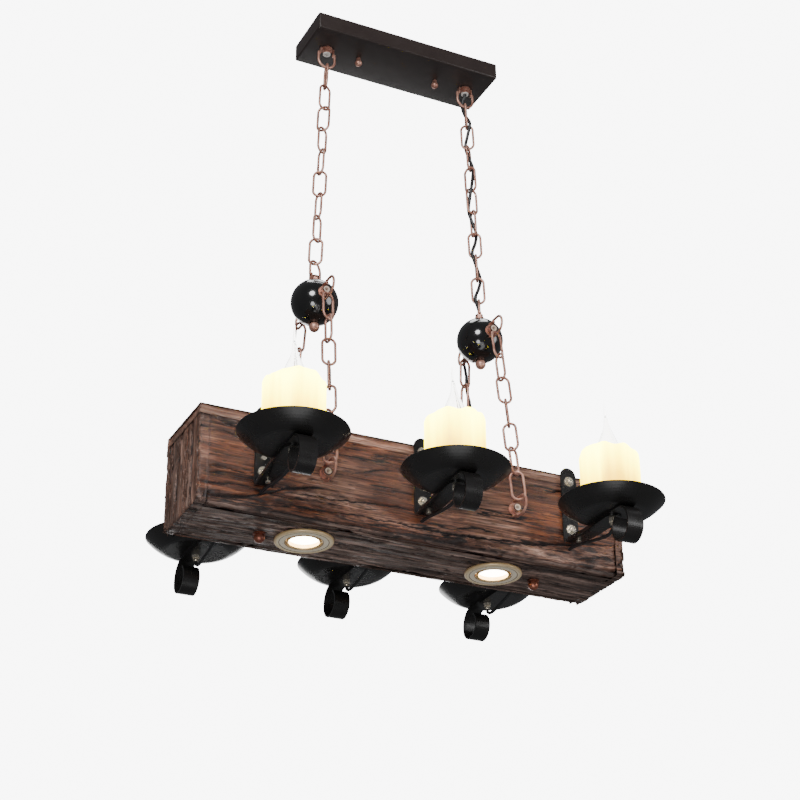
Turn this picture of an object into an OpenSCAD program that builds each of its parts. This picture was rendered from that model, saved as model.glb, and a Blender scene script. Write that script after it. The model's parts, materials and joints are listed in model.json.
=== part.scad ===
// Wooden beam chandelier: a ceiling canopy, two chains, two balls, four lower
// chains and a hollow beam that carries six candle arms and two downlights.
// Millimetres, +Z up, X along the beam. The origin is the centre of the
// canopy's top edge, on the ceiling plane.

/* [Canopy] */
// Length of the ceiling canopy along the beam
canopy_l = 356; // [330:2:420]
// Width of the ceiling canopy
canopy_w = 111; // [90:1:150]
// Height of the ceiling canopy
canopy_h = 31; // [28:1:45]
// Distance of each chain fitting from the canopy's middle
canopy_chain_x = 139.5; // [120:0.5:150]
// Distance of each ball nut from the canopy's middle
canopy_stud_x = 77; // [60:1:100]

/* [Chains] */
// Thickness of the chain wire
wire_d = 4.4; // [3.6:0.1:5]
// Outside length of a link
link_l = 54.8; // [50:0.1:60]
// Outside width of a link
link_w = 25.6; // [24:0.1:30]
// Distance of each ball from the middle
ball_x = 155.4; // [145:0.5:170]
// Diameter of the balls
ball_d = 80; // [70:1:90]
// Distance of the lower chains' beam fittings from the middle
beam_chain_x = 165.8; // [155:0.5:180]
// Diameter of the supply cable
cable_d = 5.5; // [5:0.5:5.5]

/* [Beam] */
// Length of the wooden beam
beam_l = 750; // [700:10:900]
// Width of the beam, front to rear
beam_w = 155; // [140:1:180]
// Height of the beam
beam_h = 166; // [150:1:190]
// Thickness of the boards
board_t = 20; // [16:1:24]
// Distance of each underside ball nut from the middle
tie_rod_x = 241; // [225:1:260]

/* [Candle arms] */
// Spacing of the arms along the beam
arm_spacing = 269; // [230:1:300]
// Width of the arm's flat iron
strap_w = 28; // [22:1:34]
// Thickness of the arm's flat iron
strap_t = 3; // [2:0.5:4]
// Distance of the dish's centre from the beam's side
dish_out = 130.5; // [115:0.5:150]
// Height of the dish's rim above the beam's underside
dish_rim_z = 64; // [55:1:80]
// Diameter of the dish
dish_d = 167; // [140:1:190]
// Depth of the dish
dish_depth = 22; // [16:1:28]
// Diameter of the candle sleeve
candle_d = 98; // [80:1:104]
// Height of the candle sleeve
candle_h = 108; // [90:1:130]
// Height of the bulb's tip above the dish's floor
bulb_tip = 205; // [190:1:220]

/* [Downlights] */
// Distance of each downlight from the middle
spot_x = 166.7; // [150:0.5:185]
// Diameter of the downlight's trim ring
spot_d = 94; // [85:1:100]

/* [Hidden] */

$fn = 48;

// Colours of the finishes
black_iron = [0.06, 0.06, 0.06];
copper = [0.62, 0.36, 0.27];
brass = [0.78, 0.64, 0.38];
champagne = [0.80, 0.72, 0.58];
wood_brown = [0.36, 0.22, 0.15];
wax_cream = [1.0, 0.93, 0.66];
zinc_grey = [0.70, 0.70, 0.70];
cable_black = [0.03, 0.03, 0.03];

// Canopy
canopy_t = 1.2;
bracket_l = 240;
bracket_w = 25;
bracket_t = 2.5;
slot_x = 44;
slot_w = 6;
slot_len = 20;
stud_r = 2;
cap_nut_r = 6.5;

// Loop fitting: a hollow nipple with a nut, an ear plate, a bushing and a bail
nipple_r = 5;
nipple_bore_r = 3.6;
nipple_in = 14;
nut_af = 15;
nut_h = 5;
plate_r = 10.5;
plate_t = 1.5;
ear_in = 11.8;
ear_z = 10;
ear_pin_r = 1.4;
bushing_tip = 12;
bushing_flange_r = 6.8;
bushing_flange_h = 1.6;
bushing_bore_r = 3.25;
bail_leg = 15.5;
bail_straight = 14.5;
bail_reach = ear_z + bail_straight + bail_leg;
hook_out = 17;
beam_hook_out = 18.5;

// Chain geometry: touching wires stand one wire and a little slack apart
wire_gap = wire_d + 0.15;
link_c = link_l - wire_d;
link_r = (link_w - wire_d) / 2;
link_pitch = link_c - wire_gap;
upper_links = 9;
lower_links = 7;
ball_r = ball_d / 2;
ball_seat = sqrt(ball_r * ball_r - plate_r * plate_r);
canopy_bail_z = -canopy_h - bail_reach;
upper_len = upper_links * link_c - (upper_links + 1) * wire_gap;
upper_dx = ball_x - canopy_chain_x;
ball_bail_z = canopy_bail_z - sqrt(upper_len * upper_len - upper_dx * upper_dx);
ball_z = ball_bail_z - bail_reach - ball_seat;
lower_len = lower_links * link_c - (lower_links - 1) * wire_gap;
lower_top_y = ball_seat + hook_out;
lower_top_z = ball_z - bail_leg + wire_gap;
lower_end_y = beam_w / 2 + beam_hook_out;
lower_dx = beam_chain_x - ball_x;
lower_dy = lower_end_y - lower_top_y;
lower_end_z = lower_top_z - sqrt(lower_len * lower_len - lower_dx * lower_dx - lower_dy * lower_dy);
fitting_z = lower_end_z + wire_gap - bail_leg;

// Turns of the links about their chain, in degrees from the beam's length
turns_left = [80, 15, -46, 30, 92, -26, -86, 34, -27];
turns_right = [64, -26, 46, 118, 190, 262, 334, 424, 334];
turns_lower = [19, 93, 167, 240, 314, 388, 325];
ball_bail_turn_left = 35;
ball_bail_turn_right = 64;

// Beam
beam_z = fitting_z - beam_h / 2;
side_h = beam_h - board_t;
side_l = beam_l - 2 * board_t;
tie_rod_r = 4;
tie_nut_r = 9;
worn = 3.4;

// Downlight
spot_cut_r = 38;
trim_t = 3;
eyeball_r = 28;
eyeball_h = 14;
trim_hole_r = 28.4;
collar_r = 36;
collar_wall = 1.5;
collar_h = 24;
lens_r = 24.3;
pivot_z = 5;
spot_pin_r = 1.5;

// Arm, in its own frame: +Y away from the beam's side, z from the underside
bend_r = 6;
plate_top = 175;
scroll_top = dish_rim_z - dish_depth - 1;
scroll_mid = scroll_top - strap_t / 2;
strap_gap = 0.05;
tab_mid = scroll_mid - strap_t - strap_gap;
bolt_low_z = 65;
bolt_high_z = 150;
screw_z = 88;
leg_low = tab_mid + 5;
level_from = dish_out - 56.5;
slip_from = bend_r + strap_t + 0.3;
front_lift = [12, 4.5, 0];
front_slip = [5, 8, 2];
brace_y = 25;
cable_hole_z = 33.5;
scroll_from = 14;
curl_out = dish_out + 32.8;
curl_top_r = 30.8;
curl_r = 22.6;
curl_drop = 3;
curl_sweep = 235;

// Candle and bulb, z from the dish's floor
dish_t = 1.2;
dish_floor_r = 50;
sleeve_wall = 4;
holder_r = 13.5;
holder_h = 78;
bulb_cap_r = 6.8;
bulb_cap_h = 22;
bulb_r = 18.3;
bulb_from = holder_h + 2;

function unit(v) = v / norm(v);

// Chain axis from the first link's top wire to the last link's bottom wire
upper_top = [canopy_chain_x, 0, canopy_bail_z + wire_gap];
upper_dir = unit([upper_dx, 0, ball_bail_z - canopy_bail_z]);
lower_top = [ball_x, lower_top_y, lower_top_z];
lower_dir = unit([lower_dx, lower_dy, lower_end_z - lower_top_z]);

// A point beside a chain, k half links down it and moved sideways by an offset
function beside(top, dir, k, offset) =
    top + dir * (k * link_pitch / 2 - wire_gap / 2) + [offset[0], offset[1], 0];

// Smooth curve through points, four spans between neighbours
function spline_point(a, b, c, d, t) =
    0.5 * (2 * b + (c - a) * t + (2 * a - 5 * b + 4 * c - d) * t * t
           + (3 * b - a - 3 * c + d) * t * t * t);
function smooth(p, spans) = [
    for (i = [0 : len(p) - 2], s = [0 : spans - 1])
        spline_point(p[max(i - 1, 0)], p[i], p[i + 1], p[min(i + 2, len(p) - 1)], s / spans),
    p[len(p) - 1]
];

// Supply cable: down through the canopy's nipple and woven through the right chain
upper_offsets = [
    [-3.3, 5.8], [-1.4, 1.7], [2.7, -7.8], [0.4, -1.4], [-1.8, 6.3], [2.8, 4.2], [6.9, -0.1],
    [2.8, -4.1], [-2.2, -6.5], [-4.6, -1.3], [-5.5, 4.3], [0.6, 4.4], [6.4, 3.3], [0.9, 0.4],
    [-7.9, -2.8], [-0.8, -0.3], [7.8, 2.9], [1.2, -0.8], [-8.2, -3.2]
];
upper_bushing_z = -canopy_h - bushing_tip;
ball_bushing_z = ball_z + ball_seat + bushing_tip;
route_upper = concat(
    [[canopy_chain_x, 0, upper_bushing_z + 8], [canopy_chain_x, 0, upper_bushing_z - 2]],
    [for (k = [0 : len(upper_offsets) - 1]) beside(upper_top, upper_dir, k, upper_offsets[k])],
    [[ball_x, 0, ball_bushing_z + 9], [ball_x, 0, ball_bushing_z - 2]]);

// It turns inside the right ball, leaves it at the rear and follows the rear right chain
lower_offsets = [
    [7.4, 8.8], [7.2, 1.2], [6.9, -7.1], [1.5, -3.2], [-3.3, 6], [2.1, 4.6], [7.4, 1],
    [1.5, -0.4], [-8.5, 0.7], [-7.7, 5.1], [0.9, 14.1]
];
ball_c = [ball_x, 0, ball_z];
entry_c = [beam_chain_x, beam_w / 2, fitting_z];
route_lower = concat(
    [[ball_x, 0, ball_bushing_z - 2.6], ball_c + [0, 0, 38], ball_c + [0, 0, 28],
     ball_c + [0, 2, 17], ball_c + [0, 9, 6], ball_c + [0, 19, 1], ball_c + [0, 30, 0],
     ball_c + [0, 42, 0], ball_c + [0, 52, 0], ball_c + [1.1, 60, -2.6],
     ball_c + [4.6, 68, -11.7], ball_c + [8.3, 68, -34.9]],
    [for (k = [0 : len(lower_offsets) - 1]) beside(lower_top, lower_dir, k + 2, lower_offsets[k])],
    [entry_c + [8.5, 39.5, 40], entry_c + [12.1, 44.9, 22], entry_c + [10.7, 43.5, 8],
     entry_c + [4.9, 32.9, -1], entry_c + [1, 24, -0.5], entry_c + [0, 17, 0],
     entry_c + [0, 8, 0], entry_c + [0, -6, 0]]);

// Lead inside the canopy, from the terminal block to the right nipple
route_lead = [[39.4, 0, -16], [50, 0, -16], [85, 6, -14], [110, 6, -10], [130, 2, -9],
              [canopy_chain_x, 0, -14], [canopy_chain_x, 0, -24], [canopy_chain_x, 0, -31],
              [canopy_chain_x, 0, upper_bushing_z + 8.6]];

// ---------------------------------------------------------------- shared shapes

// Round tube of one radius along a path, as one closed polyhedron
module sweep(path, r, sides = 10) {
    n = len(path);
    tangents = [for (i = [0 : n - 1]) unit(path[min(i + 1, n - 1)] - path[max(i - 1, 0)])];
    side_axis = [1, 0.02, 0.01];
    rings = [for (i = [0 : n - 1])
        let (t = tangents[i], u = unit(cross(t, cross(side_axis, t))), v = cross(t, u))
            [for (k = [0 : sides - 1])
                path[i] + r * (cos(360 * k / sides) * u + sin(360 * k / sides) * v)]];
    points = [for (ring = rings, p = ring) p];
    walls = [for (i = [0 : n - 2], k = [0 : sides - 1])
        let (a = i * sides + k, b = i * sides + (k + 1) % sides)
            [a, b, b + sides, a + sides]];
    caps = [[for (k = [sides - 1 : -1 : 0]) k], [for (k = [0 : sides - 1]) (n - 1) * sides + k]];
    polyhedron(points, concat([for (w = walls) [w[3], w[2], w[1], w[0]]],
               [[for (k = [0 : sides - 1]) k], [for (k = [sides - 1 : -1 : 0]) (n - 1) * sides + k]]),
               convexity = 10);
}

// Moves its children to both ends of the beam's length
module left_and_right(x) {
    for (side = [-1, 1])
        translate([side * x, 0, 0]) children();
}

module half_ring(r, d) {
    rotate([90, 0, 0])
        rotate_extrude(angle = 180)
            translate([r, 0]) circle(d = d);
}

// Chain link: its top wire's centre is the origin and it hangs down -Z
module link() {
    translate([0, 0, -link_r]) half_ring(link_r, wire_d);
    translate([0, 0, link_r - link_c]) mirror([0, 0, 1]) half_ring(link_r, wire_d);
    for (x = [-link_r, link_r])
        translate([x, 0, link_r - link_c]) cylinder(h = link_c - 2 * link_r, d = wire_d);
}

// Links from one number to another of a chain that hangs along dir
module chain(top, dir, turns, from, to) {
    lean = acos(-dir[2]);
    heading = atan2(dir[1], dir[0]);
    for (n = [from : to])
        translate(top + dir * link_pitch * n)
            rotate([0, 0, heading]) rotate([0, -lean, 0]) rotate([0, 0, turns[n] - heading])
                link();
}

// Places a loop fitting's part at each fitting of the canopy
module canopy_fittings() {
    left_and_right(canopy_chain_x)
        translate([0, 0, -canopy_h]) rotate([180, 0, 0]) children();
}

// The same for the fittings of the balls and the beam, which share one body
module loop_fittings() {
    for (side = [-1, 1]) {
        translate([side * ball_x, 0, ball_z]) {
            translate([0, 0, ball_seat])
                rotate([0, 0, side < 0 ? ball_bail_turn_left : ball_bail_turn_right]) children();
            for (face = [-1, 1])
                translate([0, face * ball_seat, 0])
                    rotate([-90 * face, 0, 0]) rotate([0, 0, 90]) children();
        }
        for (face = [-1, 1])
            translate([side * beam_chain_x, face * beam_w / 2, fitting_z])
                rotate([-90 * face, 0, 0]) rotate([0, 0, 90]) children();
    }
}

module nipple() {
    difference() {
        translate([0, 0, -nipple_in]) cylinder(h = nipple_in + bushing_tip - bushing_flange_h, r = nipple_r);
        translate([0, 0, -nipple_in - 1]) cylinder(h = nipple_in + bushing_tip + 2, r = nipple_bore_r);
    }
}

module hex_nut(af, h, bore_r) {
    difference() {
        cylinder(h = h, r = af / 2 / cos(30), $fn = 6);
        translate([0, 0, -1]) cylinder(h = h + 2, r = bore_r);
    }
}

// The outer nut over the ear plate and the lock nut behind the wall
module fitting_nuts(wall) {
    translate([0, 0, plate_t]) hex_nut(nut_af, nut_h, nipple_r);
    translate([0, 0, -wall - 4]) hex_nut(nut_af, 4, nipple_r);
}

module ear_plate() {
    difference() {
        union() {
            cylinder(h = plate_t, r = plate_r);
            translate([-ear_in - plate_t, -3.5, 0]) cube([2 * (ear_in + plate_t), 7, plate_t]);
            for (side = [-1, 1])
                translate([side * (ear_in + plate_t / 2), 0, 0]) {
                    translate([-plate_t / 2, -3.5, 0]) cube([plate_t, 7, ear_z]);
                    translate([-plate_t / 2, 0, ear_z]) rotate([0, 90, 0]) cylinder(h = plate_t, r = 3.5);
                }
        }
        translate([0, 0, -1]) cylinder(h = plate_t + 2, r = nipple_r + 0.05);
        translate([-20, 0, ear_z]) rotate([0, 90, 0]) cylinder(h = 40, r = ear_pin_r + 0.1);
    }
}

module bushing() {
    difference() {
        union() {
            translate([0, 0, bushing_tip - bushing_flange_h]) cylinder(h = bushing_flange_h, r = bushing_flange_r);
            translate([0, 0, bushing_tip - 8]) cylinder(h = 7, r = nipple_bore_r);
        }
        translate([0, 0, -20]) cylinder(h = 60, r = bushing_bore_r);
    }
}

// U of wire with its ends turned in through the ears
module bail() {
    translate([0, 0, ear_z + bail_straight]) half_ring(bail_leg, wire_d);
    for (side = [-1, 1])
        translate([side * bail_leg, 0, ear_z]) {
            cylinder(h = bail_straight, d = wire_d);
            sphere(d = wire_d);
            rotate([0, -90 * side, 0]) cylinder(h = bail_leg - 10.5, r = ear_pin_r);
        }
}

// ---------------------------------------------------------------- canopy

module ceiling_bracket() {
    color(zinc_grey)
        difference() {
            translate([-bracket_l / 2, -bracket_w / 2, -bracket_t]) cube([bracket_l, bracket_w, bracket_t]);
            left_and_right(slot_x)
                translate([0, 0, -bracket_t - 1]) {
                    translate([-(slot_len - slot_w) / 2, -slot_w / 2, 0])
                        cube([slot_len - slot_w, slot_w, bracket_t + 2]);
                    for (end = [-1, 1])
                        translate([end * (slot_len - slot_w) / 2, 0, 0]) cylinder(h = bracket_t + 2, d = slot_w);
                }
            left_and_right(canopy_stud_x)
                translate([0, 0, -bracket_t - 1]) cylinder(h = bracket_t + 2, r = stud_r);
        }
}

module canopy_studs() {
    color(zinc_grey)
        left_and_right(canopy_stud_x) {
            translate([0, 0, -canopy_h - 6]) cylinder(h = canopy_h + 6, r = stud_r);
            translate([0, 0, -bracket_t - 3.2])
                difference() {
                    cylinder(h = 3.2, r = 4, $fn = 6);
                    translate([0, 0, -1]) cylinder(h = 6, r = stud_r);
                }
        }
}

module canopy_shell() {
    color(black_iron)
        difference() {
            translate([-canopy_l / 2, -canopy_w / 2, -canopy_h]) cube([canopy_l, canopy_w, canopy_h]);
            translate([-canopy_l / 2 + canopy_t, -canopy_w / 2 + canopy_t, -canopy_h + canopy_t])
                cube([canopy_l - 2 * canopy_t, canopy_w - 2 * canopy_t, canopy_h]);
            left_and_right(canopy_chain_x)
                translate([0, 0, -canopy_h - 1]) cylinder(h = 4, r = nipple_r + 0.05);
            left_and_right(canopy_stud_x)
                translate([0, 0, -canopy_h - 1]) cylinder(h = 4, r = stud_r + 0.3);
        }
}

module canopy_cap_nuts() {
    color(copper)
        left_and_right(canopy_stud_x)
            translate([0, 0, -canopy_h])
                difference() {
                    union() {
                        translate([0, 0, -10]) sphere(r = cap_nut_r);
                        translate([0, 0, -5]) cylinder(h = 5, r = 4.2);
                    }
                    translate([0, 0, -6]) cylinder(h = 7, r = stud_r);
                }
}

module canopy_nipples() {
    color(copper) canopy_fittings() nipple();
}

module canopy_hex_nuts() {
    color(copper) canopy_fittings() fitting_nuts(canopy_t);
}

module canopy_ear_plates() {
    color(copper) canopy_fittings() ear_plate();
}

module canopy_bushings() {
    color("white") canopy_fittings() bushing();
}

module canopy_bails() {
    color(copper) canopy_fittings() bail();
}

module terminal_block() {
    color("ivory")
        difference() {
            translate([7, -11, -24]) cube([32, 22, 16]);
            for (y = [-6, 6])
                translate([23, y, -25]) cylinder(h = 8, r = 2.2);
        }
}

module canopy_lead() {
    color(cable_black) sweep(smooth(route_lead, 2), cable_d / 2, 8);
}

// ---------------------------------------------------------------- upper chains

module first_links() {
    color(copper) {
        chain(upper_top, upper_dir, turns_right, 0, 0);
        chain(mirror_x(upper_top), mirror_x(upper_dir), turns_left, 0, 0);
    }
}

function mirror_x(v) = [-v[0], v[1], v[2]];

module chain_right() {
    color(copper) chain(upper_top, upper_dir, turns_right, 1, upper_links - 2);
}

module chain_left() {
    color(copper) chain(mirror_x(upper_top), mirror_x(upper_dir), turns_left, 1, upper_links - 2);
}

module last_link_right() {
    color(copper) chain(upper_top, upper_dir, turns_right, upper_links - 1, upper_links - 1);
}

module last_link_left() {
    color(copper)
        chain(mirror_x(upper_top), mirror_x(upper_dir), turns_left, upper_links - 1, upper_links - 1);
}

module cable_upper() {
    color(cable_black) sweep(smooth(route_upper, 3), cable_d / 2, 8);
}

// ---------------------------------------------------------------- balls and lower chains

module ball_shell(side) {
    color(black_iron)
        translate([side * ball_x, 0, ball_z])
            difference() {
                sphere(r = ball_r);
                sphere(r = ball_r - 2.5);
                for (turn = [[0, 0, 0], [90, 0, 0], [-90, 0, 0]])
                    rotate(turn) {
                        cylinder(h = ball_r + 1, r = nipple_r + 0.05);
                        translate([0, 0, ball_seat]) cylinder(h = 5, r = plate_r + 0.5);
                    }
                translate([0, 0, -ball_r - 1]) cylinder(h = ball_r, r = 3);
            }
}

module ball_left() {
    ball_shell(-1);
}

module ball_right() {
    ball_shell(1);
}

module ball_finials() {
    color(copper)
        left_and_right(ball_x)
            translate([0, 0, ball_z - ball_r]) {
                difference() {
                    union() {
                        translate([0, 0, -6]) sphere(r = 9);
                        cylinder(h = 12, r = 3);
                    }
                    difference() {
                        translate([0, 0, -5]) cylinder(h = 11, r = 12);
                        translate([0, 0, -6]) cylinder(h = 13, r = 3);
                        translate([0, 0, -8]) cylinder(h = 7.8, r = 11);
                    }
                }
                translate([0, 0, 3.3]) hex_nut(10, 4, 3);
            }
}

module loop_nipples() {
    color(copper) loop_fittings() nipple();
}

module loop_hex_nuts() {
    color(copper) loop_fittings() translate([0, 0, plate_t]) hex_nut(nut_af, nut_h, nipple_r);
}

module loop_ear_plates() {
    color(copper) loop_fittings() ear_plate();
}

module loop_bushings() {
    color("white") loop_fittings() bushing();
}

module loop_bails() {
    color(copper) loop_fittings() bail();
}

// One lower chain: side is left or right of the middle, face is front or rear
module lower_chain(side, face) {
    flip = [side, face, 1];
    color(copper)
        chain([for (i = [0 : 2]) lower_top[i] * flip[i]], [for (i = [0 : 2]) lower_dir[i] * flip[i]],
              turns_lower, 0, lower_links - 1);
}

module chain_front_left() {
    lower_chain(-1, -1);
}

module chain_rear_left() {
    lower_chain(-1, 1);
}

module chain_front_right() {
    lower_chain(1, -1);
}

module chain_rear_right() {
    lower_chain(1, 1);
}

module cable_lower() {
    color(cable_black) sweep(smooth(route_lower, 2), cable_d / 2, 8);
}

// ---------------------------------------------------------------- beam

module beam_top_board() {
    color(wood_brown)
        translate([0, 0, beam_z + side_h])
            difference() {
                rotate([90, 0, 90])
                    linear_extrude(beam_l, center = true)
                        polygon([[-beam_w / 2, 0], [beam_w / 2, 0], [beam_w / 2, 4],
                                 [beam_w / 2 - worn, board_t], [worn - beam_w / 2, board_t],
                                 [-beam_w / 2, 4]]);
                left_and_right(tie_rod_x)
                    translate([0, 0, -1]) cylinder(h = board_t - 5, r = tie_rod_r);
                for (face = [-1, 1], n = [-1 : 1])
                    translate([n * arm_spacing, face * beam_w / 2, bolt_high_z - side_h]) rotate([90 * face, 0, 0])
                        cylinder(h = 18, r = 2.5);
            }
}

// Side board with a hole for each chain fitting and for the arms' bolts
module side_board(face) {
    color(wood_brown)
        translate([0, face * (beam_w / 2 - board_t / 2), beam_z])
            difference() {
                translate([-side_l / 2, -board_t / 2, 0]) cube([side_l, board_t, side_h]);
                left_and_right(beam_chain_x)
                    translate([0, board_t, beam_h / 2]) rotate([90, 0, 0])
                        cylinder(h = 2 * board_t, r = nipple_r + 0.05);
                for (n = [-1 : 1], z = [bolt_low_z, screw_z])
                    translate([n * arm_spacing, board_t, z]) rotate([90, 0, 0])
                        cylinder(h = 2 * board_t, r = 2.5);
                for (n = [-1 : 1])
                    translate([n * arm_spacing, face * (board_t / 2 + 1), cable_hole_z]) rotate([90 * face, 0, 0])
                        cylinder(h = board_t - 3, r = cable_d / 2 + 0.3);
            }
}

module beam_front_board() {
    side_board(-1);
}

module beam_rear_board() {
    side_board(1);
}

module beam_bottom_board() {
    color(wood_brown)
        translate([0, 0, beam_z])
            difference() {
                translate([-side_l / 2, -beam_w / 2 + board_t, 0])
                    cube([side_l, beam_w - 2 * board_t, board_t]);
                left_and_right(spot_x)
                    translate([0, 0, -1]) cylinder(h = board_t + 2, r = spot_cut_r);
                left_and_right(tie_rod_x)
                    translate([0, 0, -1]) cylinder(h = board_t + 2, r = tie_rod_r);
            }
}

module end_board(side) {
    color(wood_brown)
        translate([side * (beam_l - board_t) / 2 - board_t / 2, -beam_w / 2, beam_z])
            cube([board_t, beam_w, side_h]);
}

module beam_end_left() {
    end_board(-1);
}

module beam_end_right() {
    end_board(1);
}

module tie_rods() {
    color(zinc_grey)
        left_and_right(tie_rod_x)
            translate([0, 0, beam_z - 6]) cylinder(h = side_h + board_t - 2, r = tie_rod_r);
}

module beam_ball_nuts() {
    color(copper)
        left_and_right(tie_rod_x)
            translate([0, 0, beam_z])
                difference() {
                    union() {
                        translate([0, 0, -7]) sphere(r = tie_nut_r);
                        translate([0, 0, -2]) cylinder(h = 2, r = tie_nut_r + 1.2);
                    }
                    translate([0, 0, -6]) cylinder(h = 10, r = tie_rod_r);
                    translate([-15, -15, 0]) cube([30, 30, 5]);
                }
}

// ---------------------------------------------------------------- candle arms

// Places an arm's part: face is front or rear, n is -1, 0 or 1 along the beam
module at_arm(face, n) {
    $lift = face < 0 ? front_lift[n + 1] : 0;
    $slip = face < 0 ? front_slip[n + 1] : 0;
    translate([n * arm_spacing, face * beam_w / 2, beam_z])
        rotate([0, 0, face < 0 ? 180 : 0]) children();
}

module every_arm() {
    for (face = [-1, 1], n = [-1 : 1])
        at_arm(face, n) children();
}

// Points of the arm's plane along an arc, and the flat iron that follows such points
function arc_points(centre_y, centre_z, r, from, to, count) = [
    for (i = [0 : count])
        let (a = from + (to - from) * i / count)
            [centre_y + r * cos(a), centre_z + r * sin(a)]
];
function side_of(path, i, shift) =
    let (t = unit(path[min(i + 1, len(path) - 1)] - path[max(i - 1, 0)]))
        path[i] + shift * [-t[1], t[0]];
function slip_at(y) = $slip * max(0, y - slip_from) / (dish_out - slip_from);
module strap(path) {
    n = len(path) - 1;
    ring = function(i) let (a = side_of(path, i, strap_t / 2), b = side_of(path, i, -strap_t / 2))
        [for (p = [[1, a], [1, b], [-1, b], [-1, a]])
            [p[0] * strap_w / 2 + slip_at(p[1][0]), p[1][0], p[1][1]]];
    points = [for (i = [0 : n], p = ring(i)) p];
    flats = [for (i = [0 : n - 1], k = [1, 3])
        [4 * i + k, 4 * i + 4 + k, 4 * i + 4 + (k + 1) % 4, 4 * i + (k + 1) % 4]];
    edges = [for (i = [0 : n - 1], k = [0, 2], t = [[0, 4, 1], [1, 4, 5]])
        [for (j = t) 4 * i + k + j]];
    polyhedron(points, concat(flats, edges, [[0, 1, 2, 3], [4 * n + 3, 4 * n + 2, 4 * n + 1, 4 * n]]),
               convexity = 10);
}

// Height of the leg's middle at a distance from the wall, before it gets level
function leg_at(y) =
    leg_low + (tab_mid + $lift - leg_low) * (y - bend_r - strap_t) / (level_from - bend_r - strap_t);

// Wall plate with a round top, bent at the bottom into a straight leg that
// ends in a flat round tab under the dish
module arm_bracket(face, n) {
    bend_mid = bend_r + strap_t / 2;
    color(black_iron)
        at_arm(face, n)
            difference() {
                union() {
                    slope = atan2(tab_mid + $lift - leg_low, level_from - bend_r - strap_t);
                    strap(concat([[strap_t / 2, plate_top - strap_w / 2]],
                                 arc_points(bend_r + strap_t, leg_low + bend_mid, bend_mid, 180, 270 + slope, 8),
                                 [[level_from, tab_mid + $lift], [dish_out, tab_mid + $lift]]));
                    translate([0, strap_t, plate_top - strap_w / 2]) rotate([90, 0, 0])
                        cylinder(h = strap_t, r = strap_w / 2);
                    translate([$slip, dish_out, tab_mid - strap_t / 2 + $lift])
                        cylinder(h = strap_t, r = strap_w / 2 - 0.1);
                }
                for (z = [bolt_low_z, screw_z, bolt_high_z])
                    translate([0, 10, z]) rotate([90, 0, 0]) cylinder(h = 20, r = 2.5);
                for (y = [brace_y, dish_out])
                    translate([slip_at(y), y, 0]) cylinder(h = 60, r = 2.5);
            }
}

// Second strap: on the leg and under the dish, then down and round into a curl
module scroll() {
    mid = scroll_mid + $lift;
    top = arc_points(curl_out, mid - curl_top_r, curl_top_r, 90, 0, 14);
    curl = arc_points(curl_out + curl_top_r - curl_r, mid - curl_top_r - curl_drop, curl_r,
                      0, -curl_sweep, 40);
    difference() {
        strap(concat([[scroll_from, leg_at(scroll_from) + strap_t + 0.08], [level_from, mid]], top, curl));
        for (y = [brace_y, dish_out])
            translate([slip_at(y), y, scroll_mid - 10]) cylinder(h = 20 + $lift, r = 2.5);
    }
}

module arm_scrolls() {
    color(black_iron) every_arm() scroll();
}

module wall_bolt(z, deep = board_t + 4) {
    translate([0, strap_t, z]) rotate([-90, 0, 0]) {
        cylinder(h = 1.2, r = 8.5);
        translate([0, 0, 1.2]) cylinder(h = 4.5, r = 6.2, $fn = 6);
        cylinder(h = 8, r = 2.5);
    }
    translate([0, -deep, z]) rotate([-90, 0, 0]) cylinder(h = deep + strap_t, r = 2.5);
}

// Bolt through the dish, the scroll and the bracket's tab, with two nuts below
module dish_bolt() {
    low = tab_mid - strap_t / 2 + $lift;
    translate([$slip, dish_out, low]) {
        translate([0, 0, -11]) cylinder(h = 2 * strap_t + dish_t + 13, r = 2.5);
        translate([0, 0, -5.5]) cylinder(h = 5.5, r = 7, $fn = 6);
        translate([0, 0, -9.5]) cylinder(h = 4, r = 4.8, $fn = 6);
        translate([0, 0, 2 * strap_t + strap_gap + dish_t]) cylinder(h = 3, r = 5);
    }
}

// Screw that joins the scroll to the bracket's leg beside the beam
module brace_screw() {
    leg_under = leg_at(brace_y) - strap_t / 2;
    translate([slip_at(brace_y), brace_y, leg_under]) {
        translate([0, 0, -3.6]) cylinder(h = 3, r = 4);
        translate([0, 0, -2]) cylinder(h = 2 * strap_t + 2.5, r = 2.5);
    }
}

module arm_bolts() {
    color(brass)
        every_arm() {
            wall_bolt(bolt_low_z);
            translate([0, strap_t, screw_z]) rotate([-90, 0, 0]) cylinder(h = 2.5, r = 4);
            translate([0, -12, screw_z]) rotate([-90, 0, 0]) cylinder(h = 12 + strap_t, r = 2.5);
            wall_bolt(bolt_high_z, 18);
            dish_bolt();
            brace_screw();
        }
}

// Thin cable to each lampholder, sagging under the arm to the hollow bolt
module candle_cables() {
    color(cable_black)
        every_arm() {
            end_z = tab_mid - strap_t / 2 + $lift - 11.3;
            route = [[-15, 0], [-6, 0], [4, 0], [20, -1.5], [42, -6], [64, -11], [86, -15.5],
                     [104, -18.7], [118, -19.5], [126, -17.1], [129.8, -13.5]];
            sag = [for (p = route) [p[0], cable_hole_z + p[1] + $lift * pow(max(0, p[0]) / dish_out, 2)]];
            path = concat(sag, [[dish_out, end_z]]);
            sweep(smooth([for (p = path) [slip_at(p[0]), p[0], p[1]]], 3), cable_d / 2, 8);
        }
}

module at_dish() {
    every_arm() translate([$slip, dish_out, scroll_top + $lift]) children();
}

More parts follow.
